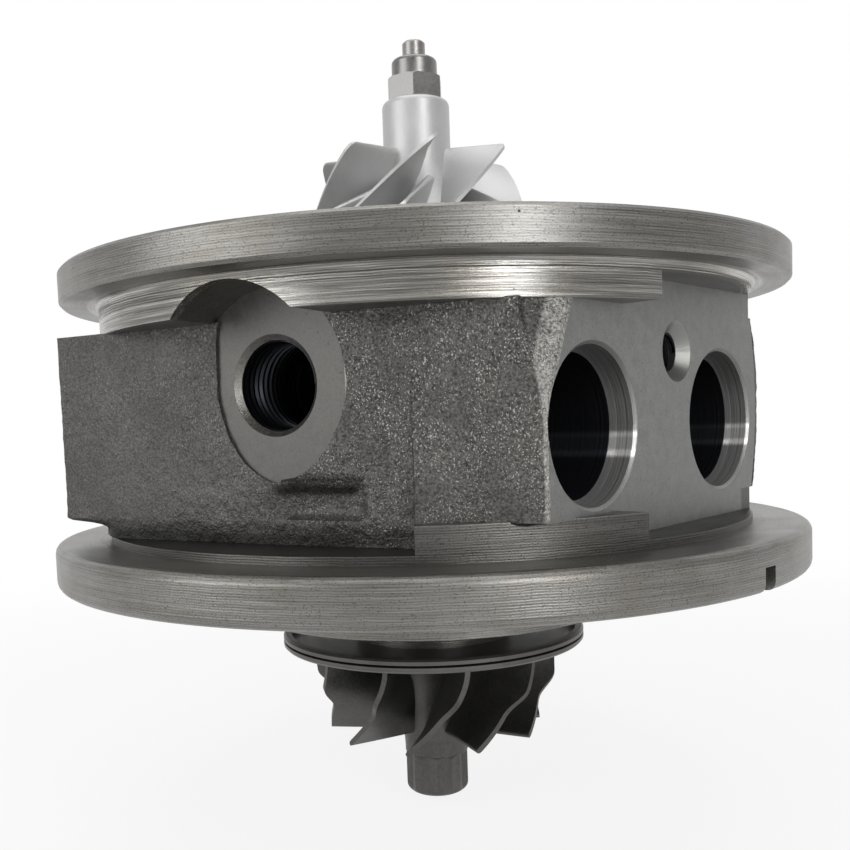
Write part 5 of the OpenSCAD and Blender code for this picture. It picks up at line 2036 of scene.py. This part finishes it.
@dataclass
class Studio:
    """Floor, light and camera.

    Attributes:
        floor_z: Height of the floor.
        floor_r: Half the floor's width.
        shadow: Share of the floor's own shading that shows near the part.
        shadow_r: Radii between which that shading fades into white.
        front: Brightness of the room on the photographer's side.
        room_y: Directions between which the room gets brighter towards the back.
        boxes: The lights.
        lens: Focal length of the camera.
        shift: Shift of its picture.
        eye: Place of the camera in millimetres.
        right: Direction to the right of its picture.
        up: Direction upwards in its picture.
        ahead: Direction in which it looks.
    """

    floor_z: float = -38.5
    floor_r: float = 4000.0
    shadow: float = 0.14
    shadow_r: Pair = (90.0, 300.0)
    front: float = 0.45
    room_y: Pair = (-0.4, 0.8)
    boxes: tuple[SoftBox, ...] = (
        SoftBox("left_box", (-380, -240, 160), 15, (300, 300), 0.8),
        SoftBox("right_box", (225, -450, 170), 15, (130, 380), 1.15),
        SoftBox("top_box", (0, -60, 420), 20, (420, 420), 1.0),
    )
    lens: float = 42.123
    shift: Pair = (0.0294, 0.0768)
    eye: Point = (0.0, -153.861, 21.896)
    right: Point = (0.99904218, 0.02584039, -0.03531282)
    up: Point = (0.03330756, 0.07429916, 0.99667961)
    ahead: Point = (-0.0283783, 0.99690115, -0.07336732)

    def build(self) -> None:
        """Builds the whole studio."""
        self.floor()
        self.world()
        for box in self.boxes:
            box.build()
        self.camera()

    def floor(self) -> None:
        """Pale floor that is white to the camera and keeps the object's shadow."""
        mesh = bpy.data.meshes.new("floor")
        wide, z = self.floor_r * MM, self.floor_z * MM
        corners = [(x * wide, y * wide, z) for x, y in ((-1, -1), (1, -1), (1, 1), (-1, 1))]
        mesh.from_pydata(corners, [], [(0, 1, 2, 3)])
        floor = bpy.data.objects.new("floor", mesh)
        bpy.context.scene.collection.objects.link(floor)
        material = bpy.data.materials.new("floor")
        graph = Graph(material)
        seen = self.seen(graph)
        pale = graph.add("ShaderNodeBsdfDiffuse", {}, {"Color": (0.8, 0.8, 0.8, 1.0)})
        glow = {"Color": (1.0, 1.0, 1.0, 1.0), "Strength": 1.0}
        white = graph.add("ShaderNodeEmission", {}, glow)
        far = graph.radius().rise(*self.shadow_r)
        ends = {0: seen * (far * self.shadow + (1 - self.shadow)), 1: pale, 2: white}
        graph.end(graph.add("ShaderNodeMixShader", {}, ends))
        mesh.materials.append(material)

    @staticmethod
    def seen(graph: Tree) -> Value:
        """Tells the rays through which a viewer sees a surface.

        Args:
            graph: Tree of the material or the world.

        Returns:
            1 for rays of the camera, reflections and glass, 0 for the others.
        """
        kinds = ("Is Camera Ray", "Is Glossy Ray", "Is Transmission Ray")
        camera, glossy, glass = (graph.add("ShaderNodeLightPath", {}, {}, kind) for kind in kinds)
        return graph.math("MINIMUM", camera + glossy + glass, 1.0)

    def world(self) -> None:
        """White surroundings, dimmer on the photographer's side for what isn't seen directly."""
        world = bpy.data.worlds.new("studio")
        bpy.context.scene.world = world
        world.use_nodes = True
        graph = Tree(world.node_tree)
        graph.tree.nodes.clear()
        way = graph.add("ShaderNodeTexCoord", {}, {}, "Generated")
        depth = graph.add("ShaderNodeSeparateXYZ", {}, {0: way}, 1)
        seen = self.seen(graph)
        direct = graph.add("ShaderNodeLightPath", {}, {}, "Is Camera Ray")
        room = depth.rise(*self.room_y) * (1 - self.front) + self.front
        strength = direct + (1 - direct) * room * (seen * 0.5 + 0.5)
        glow = {"Color": (1.0, 1.0, 1.0, 1.0), "Strength": strength}
        background = graph.add("ShaderNodeBackground", {}, glow)
        output = graph.tree.nodes.new("ShaderNodeOutputWorld")
        graph.tree.links.new(background.socket, output.inputs["Surface"])

    def camera(self) -> None:
        """Puts the camera where the photograph was taken from."""
        data = bpy.data.cameras.new("camera")
        data.lens = self.lens
        data.sensor_width = 36.0
        data.sensor_fit = "HORIZONTAL"
        data.shift_x, data.shift_y = self.shift
        data.clip_start, data.clip_end = 0.005, 20.0
        camera = bpy.data.objects.new("camera", data)
        columns = [Vector(self.right), Vector(self.up), -Vector(self.ahead)]
        turn = Matrix(columns).transposed()
        camera.matrix_world = Matrix.Translation(Vector(self.eye) * MM) @ turn.to_4x4()
        bpy.context.scene.collection.objects.link(camera)
        bpy.context.scene.camera = camera


FINISHES = (
    Metal("shield_steel", (0.14, 0.135, 0.128), 0.6, 0.9, 0.42, Lay.TURNED, 0.5, 0.01),
    Metal("turbine_alloy", (0.115, 0.112, 0.108), 0.6, 0.85, 0.46, Lay.CAST, 0.4, 0.02),
    Metal("shaft_steel", (0.34, 0.325, 0.315), 0.75, 1.0, 0.4, Lay.TURNED, 0.4, 0.003),
    Metal("nut_steel", (0.24, 0.234, 0.228), 0.75, 1.0, 0.34, Lay.PLAIN, 0.4, 0.006),
    Metal("ring_iron", (0.2, 0.2, 0.2), 0.6, 0.95, 0.35, Lay.TURNED, 0.2, 0.01),
    Metal("spring_steel", (0.14, 0.14, 0.15), 0.6, 0.95, 0.4, Lay.PLAIN, 0.5, 0.01),
    Metal("bearing_bronze", (0.55, 0.37, 0.18), 0.7, 1.0, 0.3, Lay.TURNED, 0.25, 0.01),
    Metal("sleeve_steel", (0.45, 0.44, 0.43), 0.7, 1.0, 0.28, Lay.TURNED, 0.2, 0.01),
    Metal("sheet_steel", (0.3, 0.3, 0.3), 0.7, 0.95, 0.4, Lay.SHEET, 0.8, 0.01),
    Metal("plate_aluminium", (0.6, 0.6, 0.6), 0.75, 1.0, 0.36, Lay.TURNED, 0.25, 0.015),
    Metal("seal_rubber", (0.02, 0.02, 0.02), 0.6, 0.0, 0.55, Lay.PLAIN, 0.3, 0.01),
    Metal("wheel_aluminium", (0.52, 0.525, 0.52), 0.88, 0.5, 0.46, Lay.CAST, 0.3, 0.008),
)

# Thread iron painted near black: painted shade inside the tapped holes.
THREAD_IRON = Metal("thread_iron", (0.03, 0.032, 0.039), 0.7, 0.9, 0.36, Lay.PLAIN, 0.3, 0.005)
IRON_SLOT = "cast_iron"


def dress_nodes(made: dict[str, bpy.types.Material]) -> None:
    """Gives each CAD node the material of its slot.

    Args:
        made: Materials by slot.
    """
    slots = {part["node"]: part["material_slot"] for part in frame["record"]["subparts"]}
    for name, node in frame["nodes"].items():
        node.data.materials.clear()
        node.data.materials.append(made[slots[name]])
        LOG.info("%s: %s", name, slots[name])


def tapped_holes() -> list[Thread]:
    """Threads of the oil inlet, the water pad's screw hole and the drain's two screw holes.

    Returns:
        The four threads, not yet built.
    """
    size = HOUSING
    inlet = (size.wall_az, 0.0, size.inlet_z, size.inlet_r, size.inlet_h - 1.0, 12.0)
    pad = (size.pad_az, size.screw_s, size.screw_z, size.screw_r, size.pad_h - 1.6, 10.0)
    drain = (size.drain_z, size.screw_r, size.drain_h - 0.3, 10.0)
    return [
        Thread("inlet_thread", *inlet),
        Thread("pad_screw_thread", *pad),
        Thread("drain_thread_left", size.drain_az, -size.drain_bolt, *drain),
        Thread("drain_thread_right", size.drain_az, size.drain_bolt, *drain),
    ]


def main() -> None:
    """Builds and dresses the cartridge."""
    logging.basicConfig(level=logging.INFO, format="%(name)s %(message)s")
    bpy.context.scene.view_settings.view_transform = "Standard"
    made = {finish.name: finish.material() for finish in FINISHES}
    made[IRON_SLOT] = MachinedIron().material()
    dress_nodes(made)
    finish_piece(CastSkin().build(), CastIron().material(), Body.CARTRIDGE, IRON_SLOT)
    finish_piece(TurnedNeck().build(), made[IRON_SLOT], Body.CARTRIDGE, IRON_SLOT)
    dark = THREAD_IRON.material()
    for thread in tapped_holes():
        finish_piece(thread.build(dark), dark, Body.CARTRIDGE, IRON_SLOT)
    for wheel in (CompressorWheel(), TurbineWheel()):
        wheel.build(made[wheel.slot])
    Studio().build()


if __name__ == "__main__":
    main()
